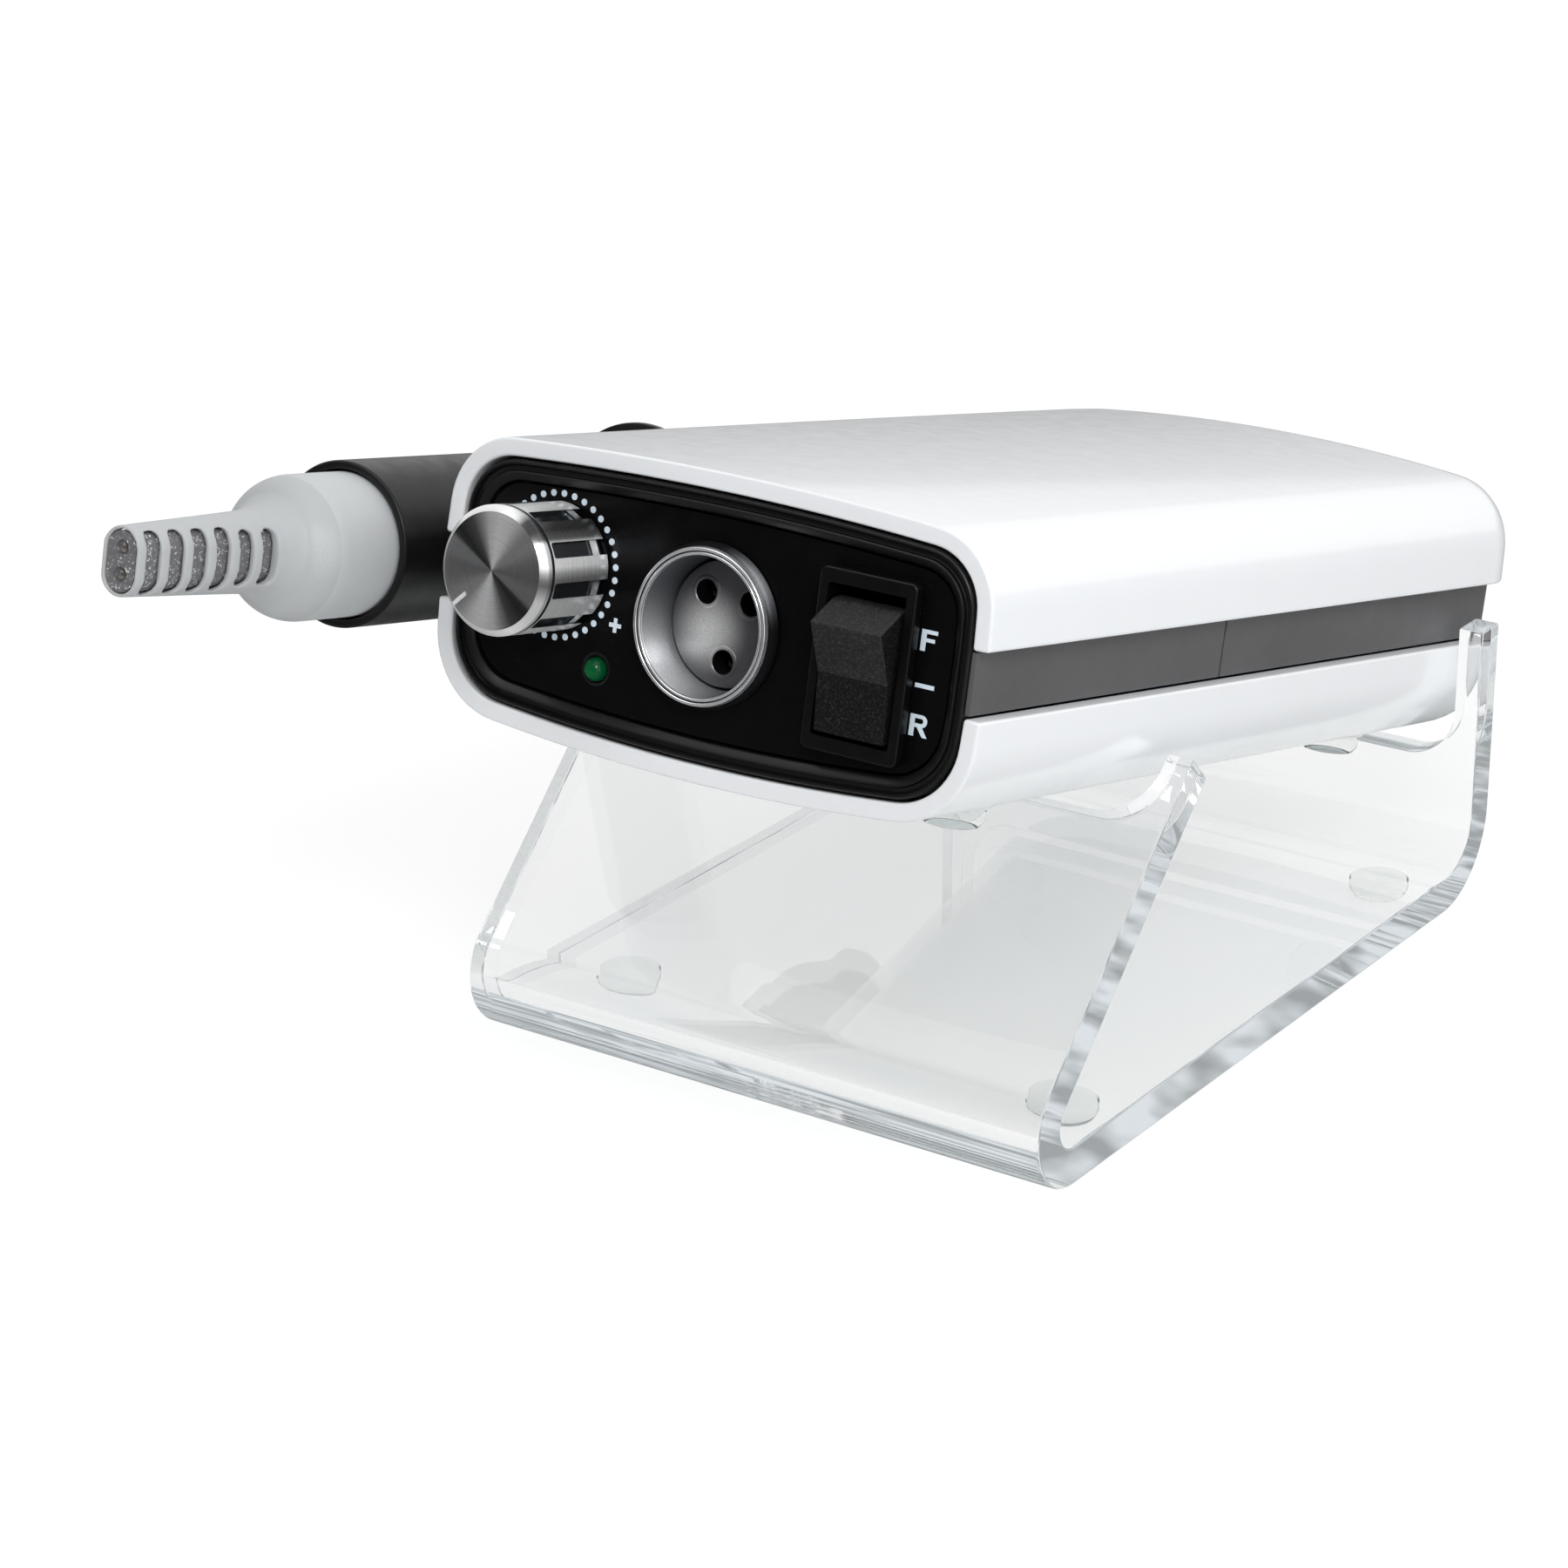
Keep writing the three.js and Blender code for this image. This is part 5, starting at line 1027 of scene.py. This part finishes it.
class NAILDRILL_OT_socket(bpy.types.Operator):
    """Builds the silver handpiece socket with its rolled rim, drilled floor and split contacts"""
    bl_idname = "nail_drill.socket"
    bl_label = "Handpiece socket"
    bl_options = {"REGISTER", "UNDO"}

    def execute(self, context):
        base = PANEL_FACE - SEAT
        cup = [(7.85, 13), (7.85, 4.5), (7.95, 2.5), (8.15, 0.2), (8.25, -0.4), (8.3, -0.62)]
        lip = arc(8.47, -0.66, 0.2, 180, 350, 8) + [(8.69, -0.3), (8.77, -0.3)]
        lip += arc(8.99, -0.7, 0.23, 190, 360, 8)
        outer = [(9.3, SOCKET_LIP), (9.5, 0.0), (9.75, 0.4), (9.84, base), (8.8, base), (8.8, 13)]
        shell = turned("socket_cup", cup + lip + outer, SOCKET, steps=128)
        cone, rim_groove = 9.1, 8.73
        # The outer cone and the bottom of the rim's groove take the dark cone finish: painted reflection on
        # the cone, painted shade in the groove
        for polygon in shell.data.polygons:
            x, y, z = polygon.center / MM
            reach = math.hypot(x - SOCKET[0], z - SOCKET[1])
            if reach > cone and y > SOCKET_LIP or abs(reach - rim_groove) < 0.06:
                polygon.material_index = 2
            elif y < SOCKET_LIP:
                polygon.material_index = 1
        finish_piece(shell, ("socket", "rim", "cone"), "satin_silver", "socket_shell", smooth=50)

        disc = [(0, 4.5), (7.15, 4.5), (7.4, 4.6), (7.55, 4.9), (7.55, 11), (0, 11)]
        insert = turned("socket_floor", disc, SOCKET, steps=128)
        spots = [polar(SOCKET, SOCKET_HOLE_CIRCLE, math.radians(angle)) for angle in SOCKET_HOLE_DEGREES]
        boss = [(0, 5.5), (1.95, 5.5), (1.95, 4.46), (1.88, 4.4), (1.72, 4.36), (0, 4.36)]
        hole_radius = 1.46
        hole = [(0, 3), (1.56, 3), (1.56, 4.36), (hole_radius, 4.46), (hole_radius, 12), (0, 12)]
        for spot in spots:
            carve(insert, turned("boss", boss, spot, steps=48), operation="UNION")
        for spot in spots:
            carve(insert, turned("hole", hole, spot, steps=48))
        # The walls of the holes take the black satin finish: painted shade deep in the holes
        for polygon in insert.data.polygons:
            x, y, z = polygon.center / MM
            in_hole = min(math.hypot(x - spot[0], z - spot[1]) for spot in spots) < hole_radius
            polygon.material_index = int(in_hole and y > 4.44)
        finish_piece(insert, ("insert", "frame"), "satin_silver", "socket_insert", smooth=40)

        for i, (x, z) in enumerate(spots, 1):
            tube = turned(f"split_contact_{i}", rectangle(0.55, 7, 1.02, 14.5), (x, z), steps=40)
            carve(tube, plate("slit", rectangle(x - 2, z - 0.14, x + 2, z + 0.14), 5, 10))
            rounded(tube, 0.06, segments=2, angle=50)
            finish_piece(tube, "brass", "brass_contact", f"socket_contact_{i}")
        return {"FINISHED"}


class NAILDRILL_OT_switch(bpy.types.Operator):
    """Builds the switch's bezelled housing and its waisted rocker"""
    bl_idname = "nail_drill.switch"
    bl_label = "Rocker switch"
    bl_options = {"REGISTER", "UNDO"}

    def execute(self, context):
        x, z = SWITCH
        pivot = (ROCKER_PIVOT, z)
        front = -0.8
        bezel = plate("switch_bezel", round_rectangle(x, z, 6.5, 10.5, 0.9), PANEL_FACE - SEAT, front)
        rounded(bezel, 0.3, angle=60)
        carve(bezel, plate("body", round_rectangle(x, z, 5.95, 9.3, 0.4, 3), 0.2, 15.5), operation="UNION")
        carve(bezel, plate("window", round_rectangle(x, z, 5.2, 8.75, 0.3, 4), front - 2, 9.5))
        carve(bezel, cross_pin("pivot", x - 8, pivot, 1.5, 16))
        for side in (-5, 5):
            blade = rectangle(x - 2.4, z + side - 0.4, x + 2.4, z + side + 0.4)
            carve(bezel, plate("blade", blade, 14, 17.1), operation="UNION")
        rounded(bezel, 0.12, segments=2, angle=55)
        finish_piece(bezel, "bezel", "black_satin", "switch_housing")

        # The rocker's side view as (reach towards the front, height), and its lower half mirrored
        half_wide, pin = 4.7, 5.6
        half = [(6.95, 6.65), (2.4, 7.9), (0.6, 7.7)]
        side = [(5.74, 0)] + half + [(reach, -high) for reach, high in reversed(half)]
        tilt = Matrix.Rotation(ROCKER_TILT, 3, "X")
        points = [Vector((x, *pivot)) + tilt @ Vector((-half_wide, -reach, high)) for reach, high in side]
        rocker = prism("rocker", points, (2 * half_wide, 0, 0))
        rounded(rocker, 0.22, angle=8)
        carve(rocker, cross_pin("pins", x - pin, pivot, 1.2, 2 * pin), operation="UNION")
        # The upper half takes the lighter copy: painted light from above
        for polygon in rocker.data.polygons:
            polygon.material_index = int(polygon.center.z > z * MM)
        finish_piece(rocker, ("rocker", "rocker_lit"), "charcoal_texture", "switch_rocker", body="rocker",
                     smooth=25)
        return {"FINISHED"}


class NAILDRILL_OT_lamp(bpy.types.Operator):
    """Builds the domed status light and the seat round it"""
    bl_idname = "nail_drill.lamp"
    bl_label = "Status light"
    bl_options = {"REGISTER", "UNDO"}

    def execute(self, context):
        radius, collar = 1.45, 1.75
        profile = [(max(0.0, r), y) for r, y in arc(0, PANEL_FACE, radius, -90, 0, 16)]
        profile += [(radius, 3.5), (collar, 3.5), (collar, 4.4), (radius, 4.4), (radius, 6.3), (0, 6.3)]
        lens = turned("status_lens", profile, LED, steps=64)
        finish_piece(lens, "lens", "green_lens", "status_led", smooth=40)
        ring = [(radius, PANEL_FACE + behind)
                for radius, behind in ((1.5, 0.25), (1.55, -0.02), (1.78, -0.16), (2.0, -0.04), (2.0, 0.25))]
        finish_piece(turned("lamp_seat", ring, LED, steps=64), "frame", "black_satin", smooth=60)
        give("frame", "led_holder")
        return {"FINISHED"}


def make_bumper(name, place, face):
    """A clear foot that hangs from a face at its place (x, y)."""
    top = face - SEAT
    foot = top - 2.2
    profile = [(0, top), (3.85, top), (4, top - 0.12), (4, top - 0.8)]
    profile += [(3.2 + 0.8 * math.cos(math.radians(a)), top - 0.8 - 1.2 * math.sin(math.radians(a)))
                for a in (15, 30, 45, 60)]
    profile += [(3.45, foot + 0.12), (3.2, foot), (0, foot)]
    return turned(name, profile, place, steps=64, upright=True)


class NAILDRILL_OT_bumpers(bpy.types.Operator):
    """Builds the clear feet under the stand and under the box"""
    bl_idname = "nail_drill.bumpers"
    bl_label = "Clear feet"
    bl_options = {"REGISTER", "UNDO"}

    def execute(self, context):
        for label, feet, face, body, frame_place in (("stand", STAND_FEET, 0, "stand", STAND_FRAME),
                                                     ("box", BOX_FEET, PAD_FACE, "control_box", BOX_FRAME)):
            for i, foot in enumerate(feet, 1):
                bumper = make_bumper(f"{label}_bumper_{i}", foot, face)
                finish_piece(bumper, "bumper", "clear_rubber", f"{label}_foot_{i}", body=body,
                             place=frame_place, smooth=40)
        return {"FINISHED"}


def underside(y):
    """Height of the box's underside over a point of the product frame."""
    centre_y = BOX_PLACE.y - LOWER_CROWN * math.sin(BOX_PITCH)
    centre_z = BOX_PLACE.z - LOWER_CROWN * math.cos(BOX_PITCH)
    return centre_z - (y - centre_y) * math.tan(BOX_PITCH)


def notch(name, depth, place):
    """A cutter for a notch with round lower corners, its floor at height zero of its own frame."""
    half, corner, behind, length = 38.5, 7, -2, 9.1
    shape = round_ended(half, corner, 0, depth + 2, 14)
    points = [place @ Vector((x, height, behind)) for x, height in shape]
    return prism(name, points, place.to_3x3() @ Vector((0, 0, length)))


class NAILDRILL_OT_stand(bpy.types.Operator):
    """Builds the clear stand: one bent sheet with a notch in each wall"""
    bl_idname = "nail_drill.stand"
    bl_label = "Clear stand"
    bl_options = {"REGISTER", "UNDO"}

    def execute(self, context):
        settings = context.scene.nail_drill.stand
        sheet = settings.sheet / MM
        lean, wall_top, bend_y, bend = 45, 45.7, 9.7, 8.3
        rear_bend, rear_top = 12, 38.2
        sine = math.sin(math.radians(lean))
        tangent_y, tangent_z = bend_y - bend * sine, bend + bend * sine
        top_y = tangent_y + (wall_top - tangent_z)
        rear_y = REAR_WALL_Y - rear_bend
        profile = [(top_y, wall_top)] + arc(bend_y, bend, bend, 180 - lean, 270, 24)
        profile += arc(rear_y, rear_bend, rear_bend, 270, 360, 24)
        profile += [(REAR_WALL_Y, rear_top), (REAR_WALL_Y - sheet, rear_top)]
        profile += arc(rear_y, rear_bend, rear_bend - sheet, 360, 270, 24)
        profile += arc(bend_y, bend, bend - sheet, 270, 180 - lean, 24)
        profile += [(top_y + sheet * sine, wall_top - sheet * sine)]
        stand = prism("clear_stand", [(-STAND_HALF_WIDTH, y, z) for y, z in profile],
                      (2 * STAND_HALF_WIDTH, 0, 0))
        fall = wall_top - (underside(top_y) - SEAT)
        depth = fall / (sine + math.tan(BOX_PITCH) * sine)
        floor = Vector((0, top_y - depth * sine + sheet * sine, wall_top - depth * sine - sheet * sine))
        place = Matrix.Translation(floor) @ Matrix.Rotation(math.radians(lean), 4, "X")
        carve(stand, notch("front_notch", depth, place))
        rear_floor = underside(REAR_WALL_Y) - SEAT
        place = Matrix.Translation((0, REAR_WALL_Y, rear_floor)) @ Matrix.Rotation(math.pi / 2, 4, "X")
        carve(stand, notch("rear_notch", rear_top - rear_floor, place))
        rounded(stand, settings.edge / MM, segments=2, angle=50)
        finish_piece(stand, "acrylic", "clear_acrylic", "acrylic_stand", body="stand", place=STAND_FRAME,
                     smooth=30)
        return {"FINISHED"}


def oblong_run(name, sizes):
    """A closed run of upright oblongs about the handpiece's axis, as (y, half width, half height)."""
    rows = []
    for y, half_wide, half_high in sizes:
        corner = min(half_wide, half_high) - 0.001
        rows.append(closed([(x, y, z) for x, z in round_rectangle(*PEN, half_wide, half_high, corner, 12)]))
    return cap_ends(lofted(name, rows))


class NAILDRILL_OT_boot(bpy.types.Operator):
    """Builds the slotted strain relief boot, the cord core inside it and the ends of its wires"""
    bl_idname = "nail_drill.boot"
    bl_label = "Strain relief"
    bl_options = {"REGISTER", "UNDO"}

    def execute(self, context):
        radius, shoulder, bulge = 8.75, 3.4, 5.0
        drum = [(0, 3.7), (radius, 3.7)]
        drum += [(radius - shoulder + shoulder * c, -13.6 - bulge * s) for c, s in arc(0, 0, 1, 0, 90, 12)]
        drum += [(0, -18.6)]
        boot = turned("strain_relief_boot", drum, PEN)
        tail = [(-43.8, 2.75, 4.1), (-36.7, 3.28, 4.37), (-29.6, 3.83, 4.63), (-24.5, 4.25, 4.84),
                (-22.2, 4.5, 5.0), (-20.6, 4.95, 5.35), (-19.4, 5.5, 5.9), (-18.2, 6.3, 6.7),
                (-14.5, 6.6, 7.0)]
        carve(boot, oblong_run("tail", tail), operation="UNION")
        carve(boot, oblong_run("bore", ((-46, 2.15, 3.68), (-20, 3.5, 4.25), (6, 3.5, 4.25))))
        # The two slots next to the drum are shorter.
        for i, reach in enumerate((3.65, 3.65, 3.65, 3.65, 3.25, 3.25)):
            slot = round_rectangle(-41.2 + 3.68 * i, PEN[1], 1.12, reach, 0.85, 6)
            carve(boot, prism("slot", [(PEN[0] - 9, y, z) for y, z in slot], (18, 0, 0)))
        apply_modifier(boot, "REMESH", mode="VOXEL", voxel_size=0.24 * MM, adaptivity=0.0)
        apply_modifier(boot, "SMOOTH", factor=0.5, iterations=4)
        finish_piece(boot, "boot", "grey_rubber", "strain_relief", body="handpiece", smooth=60)

        core = oblong_run("cord_sheath", ((-43.5, 2.1, 3.55), (-20, 3.38, 4.1), (3, 3.38, 4.1)))
        spots = [(PEN[0], PEN[1] + side * WIRE_SPREAD) for side in (-1, 1)]
        hole = rectangle(0, -44, 0.95, -43.1)
        carve(core, *[turned("hole", hole, spot, steps=32) for spot in spots])
        rounded(core, 0.12, segments=2, angle=50)
        finish_piece(core, "core", "dark_core", "cord_core", body="handpiece", smooth=40)
        strand = [(0.0, -43.42), (0.3, -43.4), (0.52, -43.3), (0.58, -43.15), (0.58, -42.6), (0, -42.6)]
        strands = merged("conductor_ends", [turned("strand", strand, spot, steps=24) for spot in spots])
        finish_piece(strands, "wire", "steel", body="handpiece", smooth=40)
        return {"FINISHED"}


class NAILDRILL_OT_handpiece(bpy.types.Operator):
    """Builds the handpiece's housing, nose, chuck and lock ring"""
    bl_idname = "nail_drill.handpiece"
    bl_label = "Handpiece"
    bl_options = {"REGISTER", "UNDO"}

    def execute(self, context):
        grip = [(10.1 - 0.7 * (1 - math.cos(math.pi * i / 10)), 64 + 22 * i / 10) for i in range(11)]
        housing = [(9.05, 4), (9.05, -4.35)] + arc(9.35, -4.7, 0.3, 180, 270, 5)
        housing += arc(9.7, -4.6, 0.4, 270, 360, 6) + grip
        housing += [(6.5, 86), (6.5, 53), (8.7, 53), (8.7, 4)]
        body = turned("handpiece_grip", housing, PEN, steps=128)
        rounded(body, 0.1, segments=2, angle=50)
        finish_piece(body, "grip", "black_matte", "handpiece_housing", body="handpiece", smooth=35)

        tip, bore = 4.4, 3.6
        taper = [(tip + 3.6 * (0.5 + 0.5 * math.cos(math.pi * i / 14)), 101.2 + 10 * i / 14)
                 for i in range(15)]
        nose = [(bore, 74), (6.2, 74), (6.2, 98.3), (7.85, 98.3), (8, 98.45)] + taper
        nose += [(tip, 112.7), (4.1, 113), (bore, 113)]
        finish_piece(turned("grip_nose", nose, PEN), "grip", "black_matte", "nose_cone", body="handpiece",
                     smooth=40)

        steps, ridges = 256, 16
        angles = [2 * math.pi * i / steps for i in range(steps)]
        points = [polar(PEN, 8.4 + 0.3 * math.cos(ridges * angle), angle) for angle in angles]
        ring = plate("lock_ring", points, 86.3, 98)
        carve(ring, turned("bore", rectangle(0, 85, 6.55, 99), PEN))
        rounded(ring, 0.35, angle=55)
        finish_piece(ring, "grip", "black_matte", "twist_ring", body="lock_ring", smooth=40)

        chuck = [(0, 88.3), (3.2, 88.3), (3.2, 114.0), (3.05, 114.35), (2.6, 114.6), (1.35, 114.6),
                 (1.2, 114.45), (1.2, 98), (0, 98)]
        collet = turned("steel_collet", chuck, PEN, steps=64)
        slit = rectangle(-4, 0.15, 4, -0.15)
        for angle in (0, 60, 120):
            carve(collet, turned_plate("slit", slit, PEN, math.radians(angle), 110.5, 6))
        finish_piece(collet, "steel", "steel", "collet_chuck", body="spindle", smooth=35)
        give("steel", "motor_can", "rear_bearing", "front_bearing", "motor_rotor", "spindle_shaft")
        return {"FINISHED"}


class NAILDRILL_OT_cradle(bpy.types.Operator):
    """Builds the ring cradle that parks the handpiece"""
    bl_idname = "nail_drill.cradle"
    bl_label = "Ring cradle"
    bl_options = {"REGISTER", "UNDO"}

    def execute(self, context):
        bore = 10.4
        profile = [(bore, 46.3), (10.7, 46.05), (11.0, 46), (11.4, 46.15), (11.6, 46.6), (11.6, 54.9),
                   (11.75, 55.25), (12.1, 55.45), (12.6, 55.55), (12.9, 55.7), (13.0, 55.95), (13.0, 56.6),
                   (12.9, 56.85), (12.7, 57), (10.7, 57), (bore, 56.7)]
        ring = turned("ring_cradle", profile, PEN, steps=128)
        carve(ring, plate("trim", rectangle(-(BOX_HALF_WIDTH + SEAT), -16, -20, 16), 40, 62))
        carve(ring, plate("foot", rectangle(-40.2, -3.3, -36.7, 3.3), 46.3, 55.8), operation="UNION")
        carve(ring, turned("bore", rectangle(0, 44, bore, 60), PEN, steps=128))
        finish_piece(ring, "grip", "black_matte", "handpiece_cradle", smooth=40)
        return {"FINISHED"}


class NAILDRILL_OT_inside(bpy.types.Operator):
    """Gives the board, battery, jack and screws their finishes"""
    bl_idname = "nail_drill.inside"
    bl_label = "Inner parts"
    bl_options = {"REGISTER", "UNDO"}

    def execute(self, context):
        give("board", "main_board")
        give("socket", "driver_heatsink")
        give("charcoal", "drive_capacitor", "battery_holder")
        give("wrap", "battery_cell_1", "battery_cell_2", "battery_cell_3")
        give("frame", "power_jack")
        give("steel", "case_screw_1", "case_screw_2", "case_screw_3", "case_screw_4")
        return {"FINISHED"}


# Studio

DARK_CARD = (-0.45, -0.89, -0.05)
OVERHEAD = (-0.27, -0.39, 0.88)
SIDE_CARD = (0.97, 0.22, 0.10)
LAMP_AIM = (0, 0, 0.05)

# The photograph's camera: its place from the product's origin in millimetres, its axes, the focal length as a
# share of the picture's width, and its shift
CAMERA_PLACE = (271.615, -383.944, 232.411)
CAMERA_RIGHT = (0.82400, 0.56659, -0.00226)
CAMERA_DOWN = (0.20836, -0.30672, -0.92871)
CAMERA_FORWARD = (-0.52689, 0.76479, -0.37079)
CAMERA_FOCAL = 4936.58 / 1800
CAMERA_SHIFT = (0.0009, 0.0004)
SENSOR = 36.0


def area_lamp(name, place, size, power):
    to_object_mode()
    bpy.ops.object.light_add(type="AREA", location=place)
    lamp = bpy.context.object
    lamp.name = name
    lamp.data.shape = "RECTANGLE"
    lamp.data.size, lamp.data.size_y = size
    lamp.data.energy = power
    direction = Vector(LAMP_AIM) - Vector(place)
    lamp.rotation_euler = direction.to_track_quat("-Z", "Y").to_euler()


def white_world(studio):
    """A world that lights the object softly and shows white to the camera and through glass.

    The soft light has a dark card before the panel, a brighter patch overhead and a white card on the right.
    """
    n = Nodes("studio", world=True)
    aim = n.add("ShaderNodeTexCoord").outputs["Generated"]

    def card(direction, low, high, out_low, out_high):
        facing = n.vector("DOT_PRODUCT", aim, tuple(Vector(direction).normalized()), "Value")
        return n.ramp(facing, low, high, out_low, out_high, "SMOOTHSTEP")

    sky = n.maths("ADD", card(DARK_CARD, 0.0, 0.8, studio.ambient, 0.015),
                  card(OVERHEAD, 0.90, 0.99, 0.0, studio.overhead))
    sky = n.maths("ADD", sky, card(SIDE_CARD, 0.6, 0.95, 0.0, studio.side))
    soft = n.add("ShaderNodeBackground", {"Color": (1, 1, 1, 1), "Strength": sky})
    white = n.add("ShaderNodeBackground", {"Color": (1, 1, 1, 1), "Strength": 1.0})
    seen = n.plainly_seen(n.add("ShaderNodeLightPath"))
    bpy.context.scene.world = n.finish(n.mix(seen, soft.outputs[0], white.outputs[0]))


def floor_finish():
    """Pale floor that keeps the shadow, fades to white and stays dim in gloss."""
    n = Nodes("studio floor")
    tint = n.blend(n.noise(n.place(), 6.0), (0.90, 0.90, 0.90, 1), (0.92, 0.92, 0.92, 1))
    matt = n.add("ShaderNodeBsdfDiffuse", {"Color": tint, "Roughness": 0.6})
    glow = n.add("ShaderNodeEmission", {"Color": (1, 1, 1, 1), "Strength": 1.1})
    dim = n.add("ShaderNodeBsdfDiffuse", {"Color": (0.25, 0.25, 0.25, 1)})
    path = n.add("ShaderNodeLightPath")
    seen = n.plainly_seen(path)
    plain = n.mix(n.maths("MULTIPLY", seen, 0.7), matt.outputs[0], glow.outputs[0])
    gloss = n.maths("SUBTRACT", path.outputs["Is Glossy Ray"], seen, clamp=True)
    return n.finish(n.mix(gloss, plain, dim.outputs[0]))


class NAILDRILL_OT_stage(bpy.types.Operator):
    """Builds the floor, the lamps, the world and the camera"""
    bl_idname = "nail_drill.stage"
    bl_label = "Studio"
    bl_options = {"REGISTER", "UNDO"}

    def execute(self, context):
        studio = context.scene.nail_drill.studio
        to_object_mode()
        bpy.ops.mesh.primitive_plane_add(size=6.0, location=(0, 0, -0.0002))
        floor = bpy.context.object
        floor.name = "studio_floor"
        bpy.ops.object.transform_apply(location=True, rotation=True, scale=True)
        floor.data.materials.append(floor_finish())
        area_lamp("key", (0.42, -0.50, 0.62), (0.24, 0.24), studio.key)
        area_lamp("fill", (-0.7, -0.75, 0.55), (0.5, 0.7), studio.fill)
        white_world(studio)
        data = bpy.data.cameras.new("view")
        camera = bpy.data.objects.new("view", data)
        context.scene.collection.objects.link(camera)
        turn = Matrix((Vector(CAMERA_RIGHT), -Vector(CAMERA_DOWN), -Vector(CAMERA_FORWARD))).transposed()
        camera.matrix_world = Matrix.Translation(PRODUCT + Vector(CAMERA_PLACE) * MM) @ turn.to_4x4()
        data.sensor_width = SENSOR
        data.sensor_fit = "HORIZONTAL"
        data.lens = CAMERA_FOCAL * SENSOR
        data.shift_x, data.shift_y = CAMERA_SHIFT
        data.clip_start = 0.01
        context.scene.camera = camera
        context.scene.view_settings.view_transform = "Standard"
        return {"FINISHED"}


PIECES = (NAILDRILL_OT_stage, NAILDRILL_OT_stand, NAILDRILL_OT_bumpers, NAILDRILL_OT_shells,
          NAILDRILL_OT_band, NAILDRILL_OT_front, NAILDRILL_OT_marks, NAILDRILL_OT_knob, NAILDRILL_OT_socket,
          NAILDRILL_OT_switch, NAILDRILL_OT_lamp, NAILDRILL_OT_cradle, NAILDRILL_OT_handpiece,
          NAILDRILL_OT_boot, NAILDRILL_OT_inside)


class NAILDRILL_PT_panel(bpy.types.Panel):
    """Lists the builders and settings of the nail drill"""
    bl_label = "Nail Drill"
    bl_idname = "NAILDRILL_PT_panel"
    bl_space_type = "VIEW_3D"
    bl_region_type = "UI"
    bl_category = "Nail Drill"

    def draw(self, context):
        layout = self.layout
        settings = context.scene.nail_drill
        for group in (settings.shell, settings.knob, settings.stand, settings.colour, settings.studio):
            column = layout.column(align=True)
            for key in group.__annotations__:
                column.prop(group, key)
        for piece in PIECES:
            layout.operator(piece.bl_idname)


CLASSES = (ShellSettings, KnobSettings, StandSettings, ColourSettings, StudioSettings, NailDrillSettings,
           *PIECES, NAILDRILL_PT_panel)


def register():
    for cls in CLASSES:
        bpy.utils.register_class(cls)
    bpy.types.Scene.nail_drill = PointerProperty(type=NailDrillSettings)


def unregister():
    del bpy.types.Scene.nail_drill
    for cls in reversed(CLASSES):
        bpy.utils.unregister_class(cls)


def main():
    register()
    make_finishes(bpy.context.scene.nail_drill.colour)
    for piece in PIECES:
        group, name = piece.bl_idname.split(".")
        getattr(getattr(bpy.ops, group), name)()
    to_object_mode()


if __name__ == "__main__":
    main()
